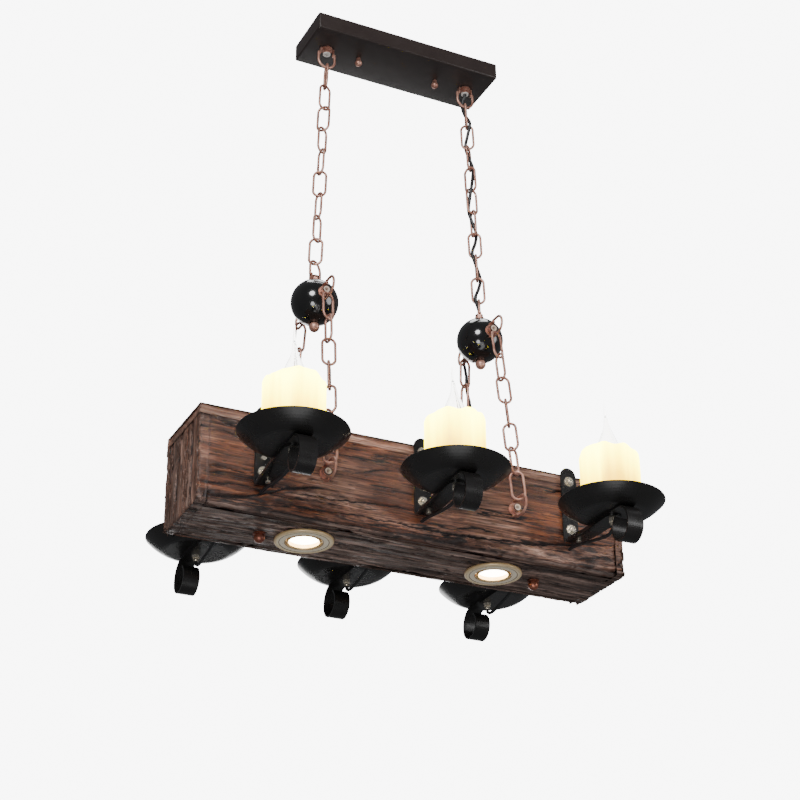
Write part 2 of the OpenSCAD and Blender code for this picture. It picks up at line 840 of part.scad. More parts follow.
// Shallow dish: a flat floor and a wall that curves up and out to the rim
module candle_dishes() {
    rise = dish_depth;
    run = dish_d / 2 - dish_floor_r;
    steps = 8;
    inner = [for (i = [0 : steps])
        [dish_floor_r + run * i / steps, dish_t + rise * pow(i / steps, 1.6)]];
    outer = [for (i = [steps : -1 : 0])
        [dish_floor_r + run * i / steps + (i > 0 ? 0.6 : 0), rise * pow(i / steps, 1.6)]];
    color(black_iron)
        at_dish()
            difference() {
                rotate_extrude() polygon(concat([[0, dish_t]], inner, outer, [[0, 0]]));
                translate([0, 0, -1]) cylinder(h = 4, r = 2.5);
            }
}

module candle_sleeves() {
    color(wax_cream)
        at_dish()
            translate([0, 0, dish_t])
                difference() {
                    cylinder(h = candle_h, d = candle_d);
                    translate([0, 0, -1]) cylinder(h = candle_h + 2, r = candle_d / 2 - sleeve_wall);
                }
}

// Lampholder on a foot that leaves room for the dish bolt's head
module lampholders() {
    color("white")
        at_dish()
            translate([0, 0, dish_t])
                difference() {
                    union() {
                        cylinder(h = 8, r = 20);
                        cylinder(h = holder_h, r = holder_r);
                    }
                    translate([0, 0, -1]) cylinder(h = 6, r = 6);
                    translate([0, 0, holder_h - bulb_cap_h - 2]) cylinder(h = bulb_cap_h + 5, r = bulb_cap_r);
                }
}

module bulb_caps() {
    color(brass)
        at_dish()
            translate([0, 0, dish_t + bulb_from - bulb_cap_h]) {
                cylinder(h = bulb_cap_h, r = bulb_cap_r);
                translate([0, 0, -2]) cylinder(h = 2, r1 = 2, r2 = 5);
            }
}

// Candle bulb: a round body that narrows into a drawn tip
module bulb_glasses() {
    body_h = bulb_tip - bulb_from - dish_t;
    outline = [[0, 0], [7, 0], [9, 4], [14, 12], [17, 19], [bulb_r, 28], [17.6, 36], [15, 45],
               [11, 54], [7.2, 63], [4.4, 72], [2.8, 84], [1.8, 97], [0, body_h]];
    color([0.95, 0.95, 0.95, 0.4])
        at_dish()
            translate([0, 0, dish_t + bulb_from]) rotate_extrude() polygon(outline);
}

// ---------------------------------------------------------------- downlights

module at_spots() {
    left_and_right(spot_x) translate([0, 0, beam_z]) children();
}

module spot_trims() {
    color(champagne)
        at_spots()
            difference() {
                union() {
                    translate([0, 0, -trim_t]) cylinder(h = trim_t, d = spot_d);
                    cylinder(h = collar_h, r = collar_r);
                }
                translate([0, 0, -trim_t - 1]) cylinder(h = collar_h + 10, r = trim_hole_r);
                translate([0, 0, 1.5]) cylinder(h = collar_h, r = collar_r - collar_wall);
                translate([0, 0, pivot_z]) rotate([0, 90, 0])
                    translate([0, 0, -60]) cylinder(h = 120, r = spot_pin_r);
            }
}

module spot_springs() {
    color(zinc_grey)
        at_spots()
            for (side = [-1, 1])
                translate([0, side * (collar_r + 0.9), board_t + 1.2]) {
                    translate([-6, -0.5, 0]) cube([12, 1, 2.4]);
                    translate([-6, side > 0 ? -0.5 : -12, 0]) cube([12, 12.5, 1]);
                }
}

module spot_pivot_pins() {
    color(zinc_grey)
        at_spots()
            for (side = [-1, 1])
                translate([side * 25.5, 0, pivot_z]) rotate([0, 90 * side, 0])
                    cylinder(h = collar_r - 25.5, r = spot_pin_r);
}

// Tilting ring: a slice of a sphere, so it turns freely in the trim's round hole
module spot_eyeball(side) {
    color(brass)
        translate([side * spot_x, 0, beam_z + pivot_z])
            difference() {
                intersection() {
                    sphere(r = eyeball_r);
                    translate([0, 0, -eyeball_h / 2]) cylinder(h = eyeball_h, r = eyeball_r + 1);
                }
                translate([0, 0, -eyeball_h]) cylinder(h = 2 * eyeball_h, r = lens_r);
                rotate([0, 90, 0]) translate([0, 0, -40]) cylinder(h = 80, r = spot_pin_r + 0.05);
            }
}

module spot_eyeball_left() {
    spot_eyeball(-1);
}

module spot_eyeball_right() {
    spot_eyeball(1);
}

// Lamp held by the ring: a lens in front of a finned body
module spot_lamp(side) {
    color("white")
        translate([side * spot_x, 0, beam_z + pivot_z]) {
            translate([0, 0, -1]) cylinder(h = 8, r = lens_r);
            translate([0, 0, 7]) cylinder(h = 24, r1 = 22, r2 = 16);
            for (z = [12, 17, 22])
                translate([0, 0, z]) cylinder(h = 2, r = 22);
            translate([0, 0, 31]) cylinder(h = 8, r = 6);
        }
}

module spot_lamp_left() {
    spot_lamp(-1);
}

module spot_lamp_right() {
    spot_lamp(1);
}

// ---------------------------------------------------------------- output

ceiling_bracket();
canopy_studs();
canopy_shell();
canopy_cap_nuts();
canopy_nipples();
canopy_hex_nuts();
canopy_ear_plates();
canopy_bushings();
canopy_bails();
terminal_block();
canopy_lead();
first_links();
chain_right();
chain_left();
last_link_right();
last_link_left();
cable_upper();
ball_left();
ball_right();
ball_finials();
loop_nipples();
loop_hex_nuts();
loop_ear_plates();
loop_bushings();
loop_bails();
chain_front_left();
chain_rear_left();
chain_front_right();
chain_rear_right();
cable_lower();
beam_top_board();
beam_front_board();
beam_rear_board();
beam_bottom_board();
beam_end_left();
beam_end_right();
tie_rods();
beam_ball_nuts();
arm_bracket(-1, -1);  // arm_bracket_front_left
arm_bracket(-1, 0);  // arm_bracket_front_middle
arm_bracket(-1, 1);  // arm_bracket_front_right
arm_bracket(1, -1);  // arm_bracket_rear_left
arm_bracket(1, 0);  // arm_bracket_rear_middle
arm_bracket(1, 1);  // arm_bracket_rear_right
arm_scrolls();
arm_bolts();
candle_cables();
candle_dishes();
candle_sleeves();
lampholders();
bulb_caps();
bulb_glasses();
spot_trims();
spot_springs();
spot_pivot_pins();
spot_eyeball_left();
spot_eyeball_right();
spot_lamp_left();
spot_lamp_right();
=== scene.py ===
import json
import math

import bmesh
import bpy
import numpy as np
from mathutils import Matrix, Vector


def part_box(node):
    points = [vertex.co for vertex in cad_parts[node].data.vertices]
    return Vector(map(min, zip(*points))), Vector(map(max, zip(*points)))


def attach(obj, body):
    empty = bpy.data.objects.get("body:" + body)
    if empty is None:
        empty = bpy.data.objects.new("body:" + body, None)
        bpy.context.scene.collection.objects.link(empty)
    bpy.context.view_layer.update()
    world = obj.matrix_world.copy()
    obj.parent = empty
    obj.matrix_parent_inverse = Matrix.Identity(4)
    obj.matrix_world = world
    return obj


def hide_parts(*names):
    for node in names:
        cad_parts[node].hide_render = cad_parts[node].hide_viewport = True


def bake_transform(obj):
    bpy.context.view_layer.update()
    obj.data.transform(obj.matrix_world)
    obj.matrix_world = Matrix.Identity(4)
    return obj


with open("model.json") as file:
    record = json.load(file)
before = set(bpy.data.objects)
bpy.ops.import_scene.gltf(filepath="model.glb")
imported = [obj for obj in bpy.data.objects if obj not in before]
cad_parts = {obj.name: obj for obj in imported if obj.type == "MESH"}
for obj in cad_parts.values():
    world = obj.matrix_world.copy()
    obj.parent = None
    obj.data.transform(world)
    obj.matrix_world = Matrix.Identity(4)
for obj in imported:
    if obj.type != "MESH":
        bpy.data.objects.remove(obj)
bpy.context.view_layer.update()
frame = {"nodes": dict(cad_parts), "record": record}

NODES = frame["nodes"]
MM = 0.001


# ------------------------------------------------------------------ numbers from the frame
def span(node):
    lo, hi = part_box(node)
    return np.array(lo), np.array(hi)


front_lo, front_hi = span("beam_front_board")
top_hi = span("beam_top_board")[1]
BASE_Z = front_lo[2]
SIDE_H = (front_hi[2] - front_lo[2]) / MM
HALF_L = top_hi[0]
HALF_W = top_hi[1]
ARM_X = 0.269
DISH_OUT = 0.1305
DISH_Y = HALF_W + DISH_OUT
CANDLE_H = 0.108
TRIM_R = 0.047
LAMP_HOLE_R = 0.038
CABLE_R = 0.0030
# the front arms are bent a little by hand: (sideways, up) of each dish, left to right
FRONT_SHIFT = {-1: (-0.005, 0.012), 0: (-0.008, 0.0045), 1: (-0.002, 0.0)}
FLOOR_Z = span("candle_sleeves")[0][2]


# ------------------------------------------------------------------ deterministic noise
def _hash(ix, iy, seed):
    h = (ix.astype(np.int64) * 374761393 + iy.astype(np.int64) * 668265263 + seed * 1442695041) & 0xFFFFFFFF
    h = ((h ^ (h >> 13)) * 1274126177) & 0xFFFFFFFF
    h = ((h ^ (h >> 15)) * 2246822519) & 0xFFFFFFFF
    return ((h ^ (h >> 16)) & 0xFFFFFF) / float(0xFFFFFF)


def noise(x, y, seed=0):
    x = np.asarray(x, float)
    y = np.asarray(y, float) + 0 * x
    x = x + 0 * y
    ix, iy = np.floor(x), np.floor(y)
    fx, fy = x - ix, y - iy
    fx = fx * fx * (3 - 2 * fx)
    fy = fy * fy * (3 - 2 * fy)
    a, b = _hash(ix, iy, seed), _hash(ix + 1, iy, seed)
    c, d = _hash(ix, iy + 1, seed), _hash(ix + 1, iy + 1, seed)
    return (a * (1 - fx) + b * fx) * (1 - fy) + (c * (1 - fx) + d * fx) * fy


def fbm(x, y, seed=0, octaves=4, gain=0.5):
    total, amp, norm = 0.0, 1.0, 0.0
    for k in range(octaves):
        total = total + amp * noise(x * 2 ** k, y * 2 ** k, seed + 17 * k)
        norm += amp
        amp *= gain
    return total / norm


# ------------------------------------------------------------------ mesh helpers
def new_mesh(name, verts, faces):
    me = bpy.data.meshes.new(name)
    me.from_pydata([tuple(v) for v in verts], [], [tuple(f) for f in faces])
    me.validate()
    me.update()
    ob = bpy.data.objects.new(name, me)
    bpy.context.scene.collection.objects.link(ob)
    me.polygons.foreach_set("use_smooth", [True] * len(me.polygons))
    return ob


def add_attribute(ob, name, values):
    at = ob.data.attributes.new(name, "FLOAT", "POINT")
    at.data.foreach_set("value", np.asarray(values, np.float32))


def lathe(profile, sides=64, closed=False):
    """Vertices and faces of a profile [(r, z)] turned about Z. A point with r = 0 is a pole."""
    verts, rows = [], []
    for r, z in profile:
        if r < 1e-9:
            rows.append([len(verts)])
            verts.append((0.0, 0.0, z))
        else:
            rows.append(list(range(len(verts), len(verts) + sides)))
            for k in range(sides):
                a = 2 * math.pi * k / sides
                verts.append((r * math.cos(a), r * math.sin(a), z))
    faces = []
    pairs = list(zip(rows, rows[1:]))
    if closed:
        pairs.append((rows[-1], rows[0]))
    for a, b in pairs:
        for k in range(sides):
            j = (k + 1) % sides
            if len(a) == 1 and len(b) == 1:
                continue
            if len(a) == 1:
                faces.append((a[0], b[j], b[k]))
            elif len(b) == 1:
                faces.append((a[k], a[j], b[0]))
            else:
                faces.append((a[k], a[j], b[j], b[k]))
    return np.array(verts), faces


def joined(name, parts):
    """One object from several (vertices, faces) pairs."""
    verts, faces, n = [], [], 0
    for v, f in parts:
        verts.append(np.asarray(v, float))
        faces += [tuple(i + n for i in face) for face in f]
        n += len(v)
    return new_mesh(name, np.concatenate(verts), faces)


# ------------------------------------------------------------------ materials
class Mat:
    """Small helper that builds a node material and returns sockets."""

    def __init__(self, name):
        self.mat = bpy.data.materials.new(name)
        self.mat.use_nodes = True
        self.nt = self.mat.node_tree
        self.nt.nodes.clear()
        self.out = self.nt.nodes.new("ShaderNodeOutputMaterial")
        self.bsdf = self.nt.nodes.new("ShaderNodeBsdfPrincipled")
        self.link(self.bsdf.outputs[0], self.out.inputs[0])

    def node(self, kind, **props):
        n = self.nt.nodes.new(kind)
        for k, v in props.items():
            setattr(n, k, v)
        return n

    def link(self, a, b):
        self.nt.links.new(a, b)

    def put(self, node, key, value):
        if hasattr(value, "is_output"):
            self.link(value, node.inputs[key])
        else:
            node.inputs[key].default_value = value

    def coords(self, scale=(1, 1, 1)):
        tc = self.node("ShaderNodeTexCoord")
        mp = self.node("ShaderNodeMapping")
        self.link(tc.outputs["Object"], mp.inputs["Vector"])
        mp.inputs["Scale"].default_value = scale
        return mp.outputs[0]

    def noise(self, vec, scale=1.0, detail=4.0, rough=0.55):
        n = self.node("ShaderNodeTexNoise")
        self.link(vec, n.inputs["Vector"])
        n.inputs["Scale"].default_value = scale
        n.inputs["Detail"].default_value = detail
        n.inputs["Roughness"].default_value = rough
        return n.outputs["Fac"]

    def ramp(self, fac, stops):
        n = self.node("ShaderNodeValToRGB")
        self.link(fac, n.inputs[0])
        el = n.color_ramp.elements
        while len(el) < len(stops):
            el.new(0.5)
        for e, (p, c) in zip(el, stops):
            e.position = p
            e.color = (c, c, c, 1) if isinstance(c, (int, float)) else (*c, 1)
        return n.outputs[0]

    def mix(self, fac, a, b):
        n = self.node("ShaderNodeMix", data_type="RGBA")
        self.put(n, 0, fac)
        for key, v in ((6, a), (7, b)):
            if hasattr(v, "is_output"):
                self.link(v, n.inputs[key])
            else:
                n.inputs[key].default_value = (*v, 1)
        return n.outputs[2]

    def math(self, op, a, b=0.0):
        n = self.node("ShaderNodeMath", operation=op)
        self.put(n, 0, a)
        self.put(n, 1, b)
        return n.outputs[0]

    def attr(self, name):
        n = self.node("ShaderNodeAttribute", attribute_name=name, attribute_type="GEOMETRY")
        return n.outputs["Fac"]

    def bump(self, height, distance, strength=1.0):
        n = self.node("ShaderNodeBump")
        n.inputs["Strength"].default_value = strength
        n.inputs["Distance"].default_value = distance
        self.link(height, n.inputs["Height"])
        return n.outputs[0]

    def set(self, **values):
        for k, v in values.items():
            self.put(self.bsdf, k.replace("_", " "), v)


def black_paint():
    m = Mat("satin_black")
    big = m.noise(m.coords(), 9, 3)
    fine = m.noise(m.coords(), 900, 3, 0.6)
    m.set(Base_Color=m.ramp(big, [(0.3, (0.0055, 0.0050, 0.0048)), (0.7, (0.010, 0.0093, 0.0090))]))
    m.set(Roughness=m.ramp(m.noise(m.coords(), 40, 4), [(0.3, 0.24), (0.7, 0.33)]))
    m.set(Specular_IOR_Level=0.5, Normal=m.bump(fine, 0.0001, 0.35))
    return m.mat


def canopy_paint():
    m = Mat("brown_black")
    fine = m.noise(m.coords(), 700, 3, 0.6)
    tone = m.noise(m.coords(), 12, 3)
    m.set(Base_Color=m.ramp(tone, [(0.3, (0.020, 0.0135, 0.0125)), (0.7, (0.028, 0.020, 0.018))]))
    m.set(Roughness=m.ramp(m.noise(m.coords(), 60, 4), [(0.3, 0.30), (0.7, 0.38)]))
    m.set(Normal=m.bump(fine, 0.0001, 0.3))
    return m.mat


def ball_paint():
    m = Mat("gloss_black")
    peel = m.noise(m.coords(), 260, 2, 0.5)
    tone = m.noise(m.coords(), 20, 3)
    m.set(Base_Color=m.ramp(tone, [(0.3, (0.005, 0.005, 0.005)), (0.8, (0.010, 0.0095, 0.009))]))
    m.set(Roughness=m.ramp(peel, [(0.3, 0.13), (0.7, 0.18)]))
    m.set(Coat_Weight=0.5, Coat_Roughness=0.06, Normal=m.bump(peel, 0.0002, 0.12))
    return m.mat


def copper(name, light, dark, rough):
    m = Mat(name)
    patch = m.noise(m.coords(), 55, 5, 0.6)
    fine = m.noise(m.coords(), 420, 4, 0.65)
    base = m.mix(m.ramp(patch, [(0.38, 0.0), (0.66, 1.0)]), dark, light)
    base = m.mix(m.ramp(fine, [(0.54, 0.0), (0.78, 0.5)]), base, tuple(c * 0.45 for c in dark))
    m.set(Base_Color=base, Metallic=0.62)
    m.set(Roughness=m.ramp(fine, [(0.3, rough - 0.07), (0.75, rough + 0.14)]))
    m.set(Normal=m.bump(fine, 0.00025, 0.4))
    return m.mat


def metal(name, light, dark, rough, scale=60, metallic=1.0):
    m = Mat(name)
    patch = m.noise(m.coords(), scale, 4, 0.55)
    m.set(Base_Color=m.ramp(patch, [(0.3, dark), (0.7, light)]), Metallic=metallic)
    m.set(Roughness=m.ramp(m.noise(m.coords(), scale * 6, 3), [(0.3, rough - 0.05), (0.7, rough + 0.08)]))
    m.set(Normal=m.bump(m.noise(m.coords(), scale * 9, 2), 0.0001, 0.25))
    return m.mat


def plastic(name, light, dark, rough=0.4):
    m = Mat(name)
    m.set(Base_Color=m.ramp(m.noise(m.coords(), 70, 4), [(0.3, dark), (0.7, light)]))
    m.set(Roughness=m.ramp(m.noise(m.coords(), 300, 3), [(0.3, rough - 0.05), (0.7, rough + 0.07)]))
    m.set(Normal=m.bump(m.noise(m.coords(), 800, 2), 0.0001, 0.2))
    return m.mat


def rubber():
    m = Mat("black_sheath")
    tone = m.noise(m.coords(), 90, 4)
    m.set(Base_Color=m.ramp(tone, [(0.3, (0.008, 0.008, 0.008)), (0.8, (0.02, 0.02, 0.021))]))
    m.set(Roughness=m.ramp(m.noise(m.coords(), 300, 3), [(0.3, 0.42), (0.7, 0.55)]))
    m.set(Normal=m.bump(m.noise(m.coords(), 700, 3), 0.0002, 0.4))
    return m.mat


def wood(name, along):
    """Stained rustic wood whose grain runs along X or Z."""
    def stretch(length, across):
        return (length, across, across) if along == "X" else (across, across, length)

    m = Mat(name)
    # streaks wander a little, so the coordinates are bent by a slow noise first
    tc = m.node("ShaderNodeTexCoord")
    warp = m.node("ShaderNodeTexNoise")
    m.link(tc.outputs["Object"], warp.inputs["Vector"])
    warp.inputs["Scale"].default_value = 7
    warp.inputs["Detail"].default_value = 2
    bend = m.node("ShaderNodeVectorMath", operation="MULTIPLY_ADD")
    m.link(warp.outputs["Color"], bend.inputs[0])
    bend.inputs[1].default_value = (0.012, 0.012, 0.012)
    m.link(tc.outputs["Object"], bend.inputs[2])

    def grain(length, across, detail, rough, offset=(0, 0, 0)):
        mp = m.node("ShaderNodeMapping")
        m.link(bend.outputs[0], mp.inputs["Vector"])
        mp.inputs["Scale"].default_value = stretch(length, across)
        mp.inputs["Location"].default_value = offset
        return m.noise(mp.outputs[0], 1.0, detail, rough)

    fine = grain(14, 620, 6, 0.62)
    streak = grain(6, 130, 5, 0.6, (3, 1, 2))
    broad = grain(3.2, 28, 4, 0.55, (9, 4, 7))
    pale, dark, raw = m.attr("pale"), m.attr("dark"), m.attr("raw")
    red = m.ramp(streak, [(0.28, (0.03, 0.008, 0.0035)), (0.50, (0.18, 0.050, 0.017)),
                          (0.74, (0.50, 0.17, 0.063))])
    tan = m.ramp(streak, [(0.28, (0.14, 0.06, 0.04)), (0.5, (0.48, 0.24, 0.16)), (0.74, (1.0, 0.66, 0.52))])
    grey = m.ramp(streak, [(0.30, (0.024, 0.014, 0.011)), (0.5, (0.18, 0.11, 0.086)),
                           (0.72, (0.74, 0.51, 0.43))])
    want = m.math("ADD", pale, m.math("MULTIPLY", m.math("SUBTRACT", broad, 0.5), 1.1))
    colour = m.mix(m.ramp(want, [(0.30, 0.0), (0.78, 1.0)]), red, tan)
    want = m.math("ADD", raw, m.math("MULTIPLY", m.math("SUBTRACT", broad, 0.5), 0.7))
    colour = m.mix(m.ramp(want, [(0.3, 0.0), (0.75, 1.0)]), colour, grey)
    zone = grain(3.6, 15, 3, 0.5, (5, 2, 8))
    stain = (0.016, 0.007, 0.004)
    colour = m.mix(m.ramp(zone, [(0.40, 0.0), (0.58, 1.0)]), m.mix(0.55, colour, stain), colour)
    colour = m.mix(m.ramp(fine, [(0.36, 0.0), (0.60, 1.0)]), m.mix(0.78, colour, stain), colour)
    # the dark attribute turns the colour almost black: painted shade in cracks, splits, deep hollows and
    # along the seam under the top board, together with the wood's own darker streaks
    colour = m.mix(m.ramp(dark, [(0.0, 0.0), (0.9, 1.0)]), colour, (0.008, 0.004, 0.003))
    m.set(Base_Color=colour)
    m.set(Roughness=m.ramp(fine, [(0.3, 0.55), (0.7, 0.27)]))
    height = m.math("ADD", m.math("MULTIPLY", fine, 0.5), m.math("MULTIPLY", streak, 0.5))
    m.set(Specular_IOR_Level=0.6, Normal=m.bump(height, 0.0034, 0.95))
    return m.mat


def rings(name, ob, reach, k, stops, rough, metallic):
    """Coloured rings about each separate piece's own axis, in the plane of X and axis k."""
    m = Mat(name)
    groups = []
    for v in ob.data.vertices:
        home = next((g for g in groups if (v.co - g[0]).length < reach), None)
        if home is None:
            groups.append([v.co.copy()])
        else:
            home.append(v.co.copy())
    sep = m.node("ShaderNodeSeparateXYZ")
    m.link(m.node("ShaderNodeTexCoord").outputs["Object"], sep.inputs[0])
    near = None
    for g in groups:
        x0, x1 = min(c.x for c in g), max(c.x for c in g)
        w0, w1 = min(c[k] for c in g), max(c[k] for c in g)
        ax = m.math("SUBTRACT", sep.outputs[0], (x0 + x1) / 2)
        aw = m.math("SUBTRACT", sep.outputs[k], (w0 + w1) / 2)
        d = m.math("SQRT", m.math("ADD", m.math("MULTIPLY", ax, ax), m.math("MULTIPLY", aw, aw)))
        d = m.math("DIVIDE", d, (w1 - w0) / 2)
        near = d if near is None else m.math("MINIMUM", near, d)
    worn = m.math("MULTIPLY", m.math("SUBTRACT", m.noise(m.coords(), 160, 4, 0.6), 0.5), 0.03)
    m.set(Base_Color=m.ramp(m.math("ADD", near, worn), stops), Metallic=metallic)
    m.set(Roughness=m.ramp(m.noise(m.coords(), 300, 3), [(0.3, rough), (0.7, rough + 0.12)]))
    return m.mat


def wax():
    m = Mat("candle_wax")
    tc = m.node("ShaderNodeTexCoord")
    sep = m.node("ShaderNodeSeparateXYZ")
    m.link(tc.outputs["Object"], sep.inputs[0])
    rise = m.node("ShaderNodeMapRange")
    m.link(sep.outputs[2], rise.inputs["Value"])
    rise.inputs["From Min"].default_value = FLOOR_Z
    rise.inputs["From Max"].default_value = FLOOR_Z + CANDLE_H
    mp = m.node("ShaderNodeMapping")
    m.link(tc.outputs["Object"], mp.inputs["Vector"])
    mp.inputs["Scale"].default_value = (42, 42, 2.5)
    streaks = m.noise(mp.outputs[0], 1.0, 3, 0.5)
    level = m.math("ADD", rise.outputs[0], m.math("MULTIPLY", m.math("SUBTRACT", streaks, 0.5), 0.75))
    # painted glow: the sleeve is no lamp, yet it shines by its own emission, stronger and yellower towards
    # the top, and its base colour lightens upwards
    glow = m.ramp(level, [(0.0, (1.0, 0.48, 0.0)), (0.30, (1.0, 0.60, 0.0)),
                          (0.62, (1.0, 0.78, 0.0)), (0.95, (1.0, 0.92, 0.06))])
    m.set(Base_Color=m.ramp(level, [(0.0, (0.60, 0.26, 0.01)), (0.9, (0.80, 0.55, 0.06))]))
    m.set(Roughness=m.ramp(m.noise(m.coords(), 120, 3), [(0.3, 0.38), (0.7, 0.5)]))
    power = m.ramp(level, [(0.0, 0.20), (0.35, 0.34), (0.65, 0.72), (1.0, 1.0)])
    m.set(Emission_Color=glow, Emission_Strength=m.math("MULTIPLY", power, 17.0))
    m.set(Subsurface_Weight=0.25, Subsurface_Scale=0.02)
    m.bsdf.inputs["Subsurface Radius"].default_value = (1.0, 0.6, 0.25)
    m.set(Normal=m.bump(m.noise(m.coords((1, 1, 0.3)), 60, 4), 0.0009, 0.4))
    return m.mat


def glass(name, tint=(0.96, 0.95, 0.93), rough=0.02):
    m = Mat(name)
    clear = tuple(min(1, c * 1.03) for c in tint)
    m.set(Base_Color=m.ramp(m.noise(m.coords(), 60, 3), [(0.3, tint), (0.7, clear)]))
    m.set(Roughness=m.ramp(m.noise(m.coords(), 120, 3), [(0.3, rough), (0.7, rough + 0.03)]))
    m.set(Transmission_Weight=1.0, IOR=1.47)
    return m.mat


def glow(name, inner, outer, strength):
    m = Mat(name)
    m.set(Base_Color=(0.8, 0.7, 0.55, 1))
    m.set(Emission_Color=m.ramp(m.noise(m.coords(), 220, 2), [(0.3, outer), (0.7, inner)]))
    m.set(Emission_Strength=strength, Roughness=0.35)
    return m.mat


MATS = {
    "zinc": metal("zinc_steel", (0.62, 0.62, 0.60), (0.45, 0.45, 0.44), 0.36),
    "black_iron": black_paint(),
    "ball": ball_paint(),
    "canopy": canopy_paint(),
    "copper": copper("antique_copper", (0.60, 0.34, 0.26), (0.34, 0.16, 0.12), 0.40),
    "copper_dark": copper("dark_copper", (0.36, 0.13, 0.08), (0.14, 0.045, 0.03), 0.28),
    "white_plastic": plastic("white_plastic", (0.74, 0.70, 0.66), (0.60, 0.56, 0.52)),
    "ivory_plastic": plastic("ivory_plastic", (0.78, 0.73, 0.62), (0.66, 0.60, 0.50)),
    "cable_sheath": rubber(),
    "wood_x": wood("rustic_wood_long", "X"),
    "wood_z": wood("rustic_wood_end", "Z"),
    "bolt_brass": metal("bolt_brass", (1.0, 0.95, 0.84), (0.70, 0.60, 0.46), 0.16, 150, 0.8),
    "wax": wax(),
    "bulb_glass": glass("clear_glass"),
    "trim_champagne": metal("champagne_trim", (1.0, 0.90, 0.72), (0.86, 0.72, 0.52), 0.30, 90, 0.15),
    "ring_brass": metal("ring_brass", (0.95, 0.66, 0.26), (0.74, 0.46, 0.14), 0.26, 90, 0.6),
    "lamp_face": glow("lamp_lens", (1.0, 0.97, 0.90), (1.0, 0.92, 0.78), 16.0),
    "filament": glow("filament", (1.0, 0.86, 0.55), (1.0, 0.72, 0.34), 12.0),
}


slots = {s["node"]: s["material_slot"] for s in frame["record"]["subparts"]}
for name, ob in NODES.items():
    key = {"rustic_wood": "wood_x"}.get(slots[name], slots[name])
    if name in ("ball_left", "ball_right"):
        key = "ball"
    if name in ("beam_ball_nuts", "canopy_cap_nuts", "ball_finials"):
        key = "copper_dark" if name == "beam_ball_nuts" else "copper"
    if len(ob.material_slots) == 0:
        ob.data.materials.append(MATS[key])
    for slot in ob.material_slots:
        slot.material = MATS[key]

bushes = NODES["loop_bushings"]
# the dark centre of each bushing is painted shade, standing for the eyelet's hole
bush_tones = [(0.0, (0.03, 0.02, 0.015)), (0.34, (0.04, 0.025, 0.02)), (0.42, (0.78, 0.64, 0.54)),
              (0.74, (0.66, 0.50, 0.41)), (0.86, (0.10, 0.06, 0.045))]
bush_mat = rings("eyelet", bushes, 0.02, 2, bush_tones, 0.3, 0.3)
for slot in bushes.material_slots:
    slot.material = bush_mat


# ------------------------------------------------------------------ wooden beam
def segment_distance(u, v, a, b):
    ab = (b[0] - a[0], b[1] - a[1])
    ll = ab[0] ** 2 + ab[1] ** 2
    t = np.clip(((u - a[0]) * ab[0] + (v - a[1]) * ab[1]) / ll, 0, 1)
    return np.hypot(u - a[0] - t * ab[0], v - a[1] - t * ab[1])


def cracks(u, v, lines, seed):
    """Depth and darkness of a set of cracks [(width, depth, [(u, v), ...])] in millimetres; the darkness is
    painted shade inside the cracks.
    """
    depth, dark = np.zeros_like(u), np.zeros_like(u)
    vv = v + 5.0 * (fbm(u / 26, v / 30, seed, 3) - 0.5) + 1.8 * (noise(u / 5, v / 9, seed + 3) - 0.5)
    for n, (w, d, line) in enumerate(lines):
        dist = np.full_like(u, 1e9)
        for a, b in zip(line, line[1:]):
            dist = np.minimum(dist, segment_distance(u, vv, a, b))
        start, end = line[0], line[-1]
        ends = np.minimum(np.hypot(u - start[0], vv - start[1]), np.hypot(u - end[0], vv - end[1]))
        taper = np.clip(ends / 28, 0.25, 1)
        width = w * taper * (0.55 + 0.9 * noise(u / 17, v * 0 + n, seed + 7))
        fall = np.clip(1 - dist / np.maximum(width, 0.3), 0, 1)
        depth = np.maximum(depth, d * taper * fall ** 0.7)
        # painted shade: each crack is darkened along its groove
        dark = np.maximum(dark, np.clip(fall * 1.6, 0, 1) * (0.5 + 0.5 * taper))
    return depth, dark


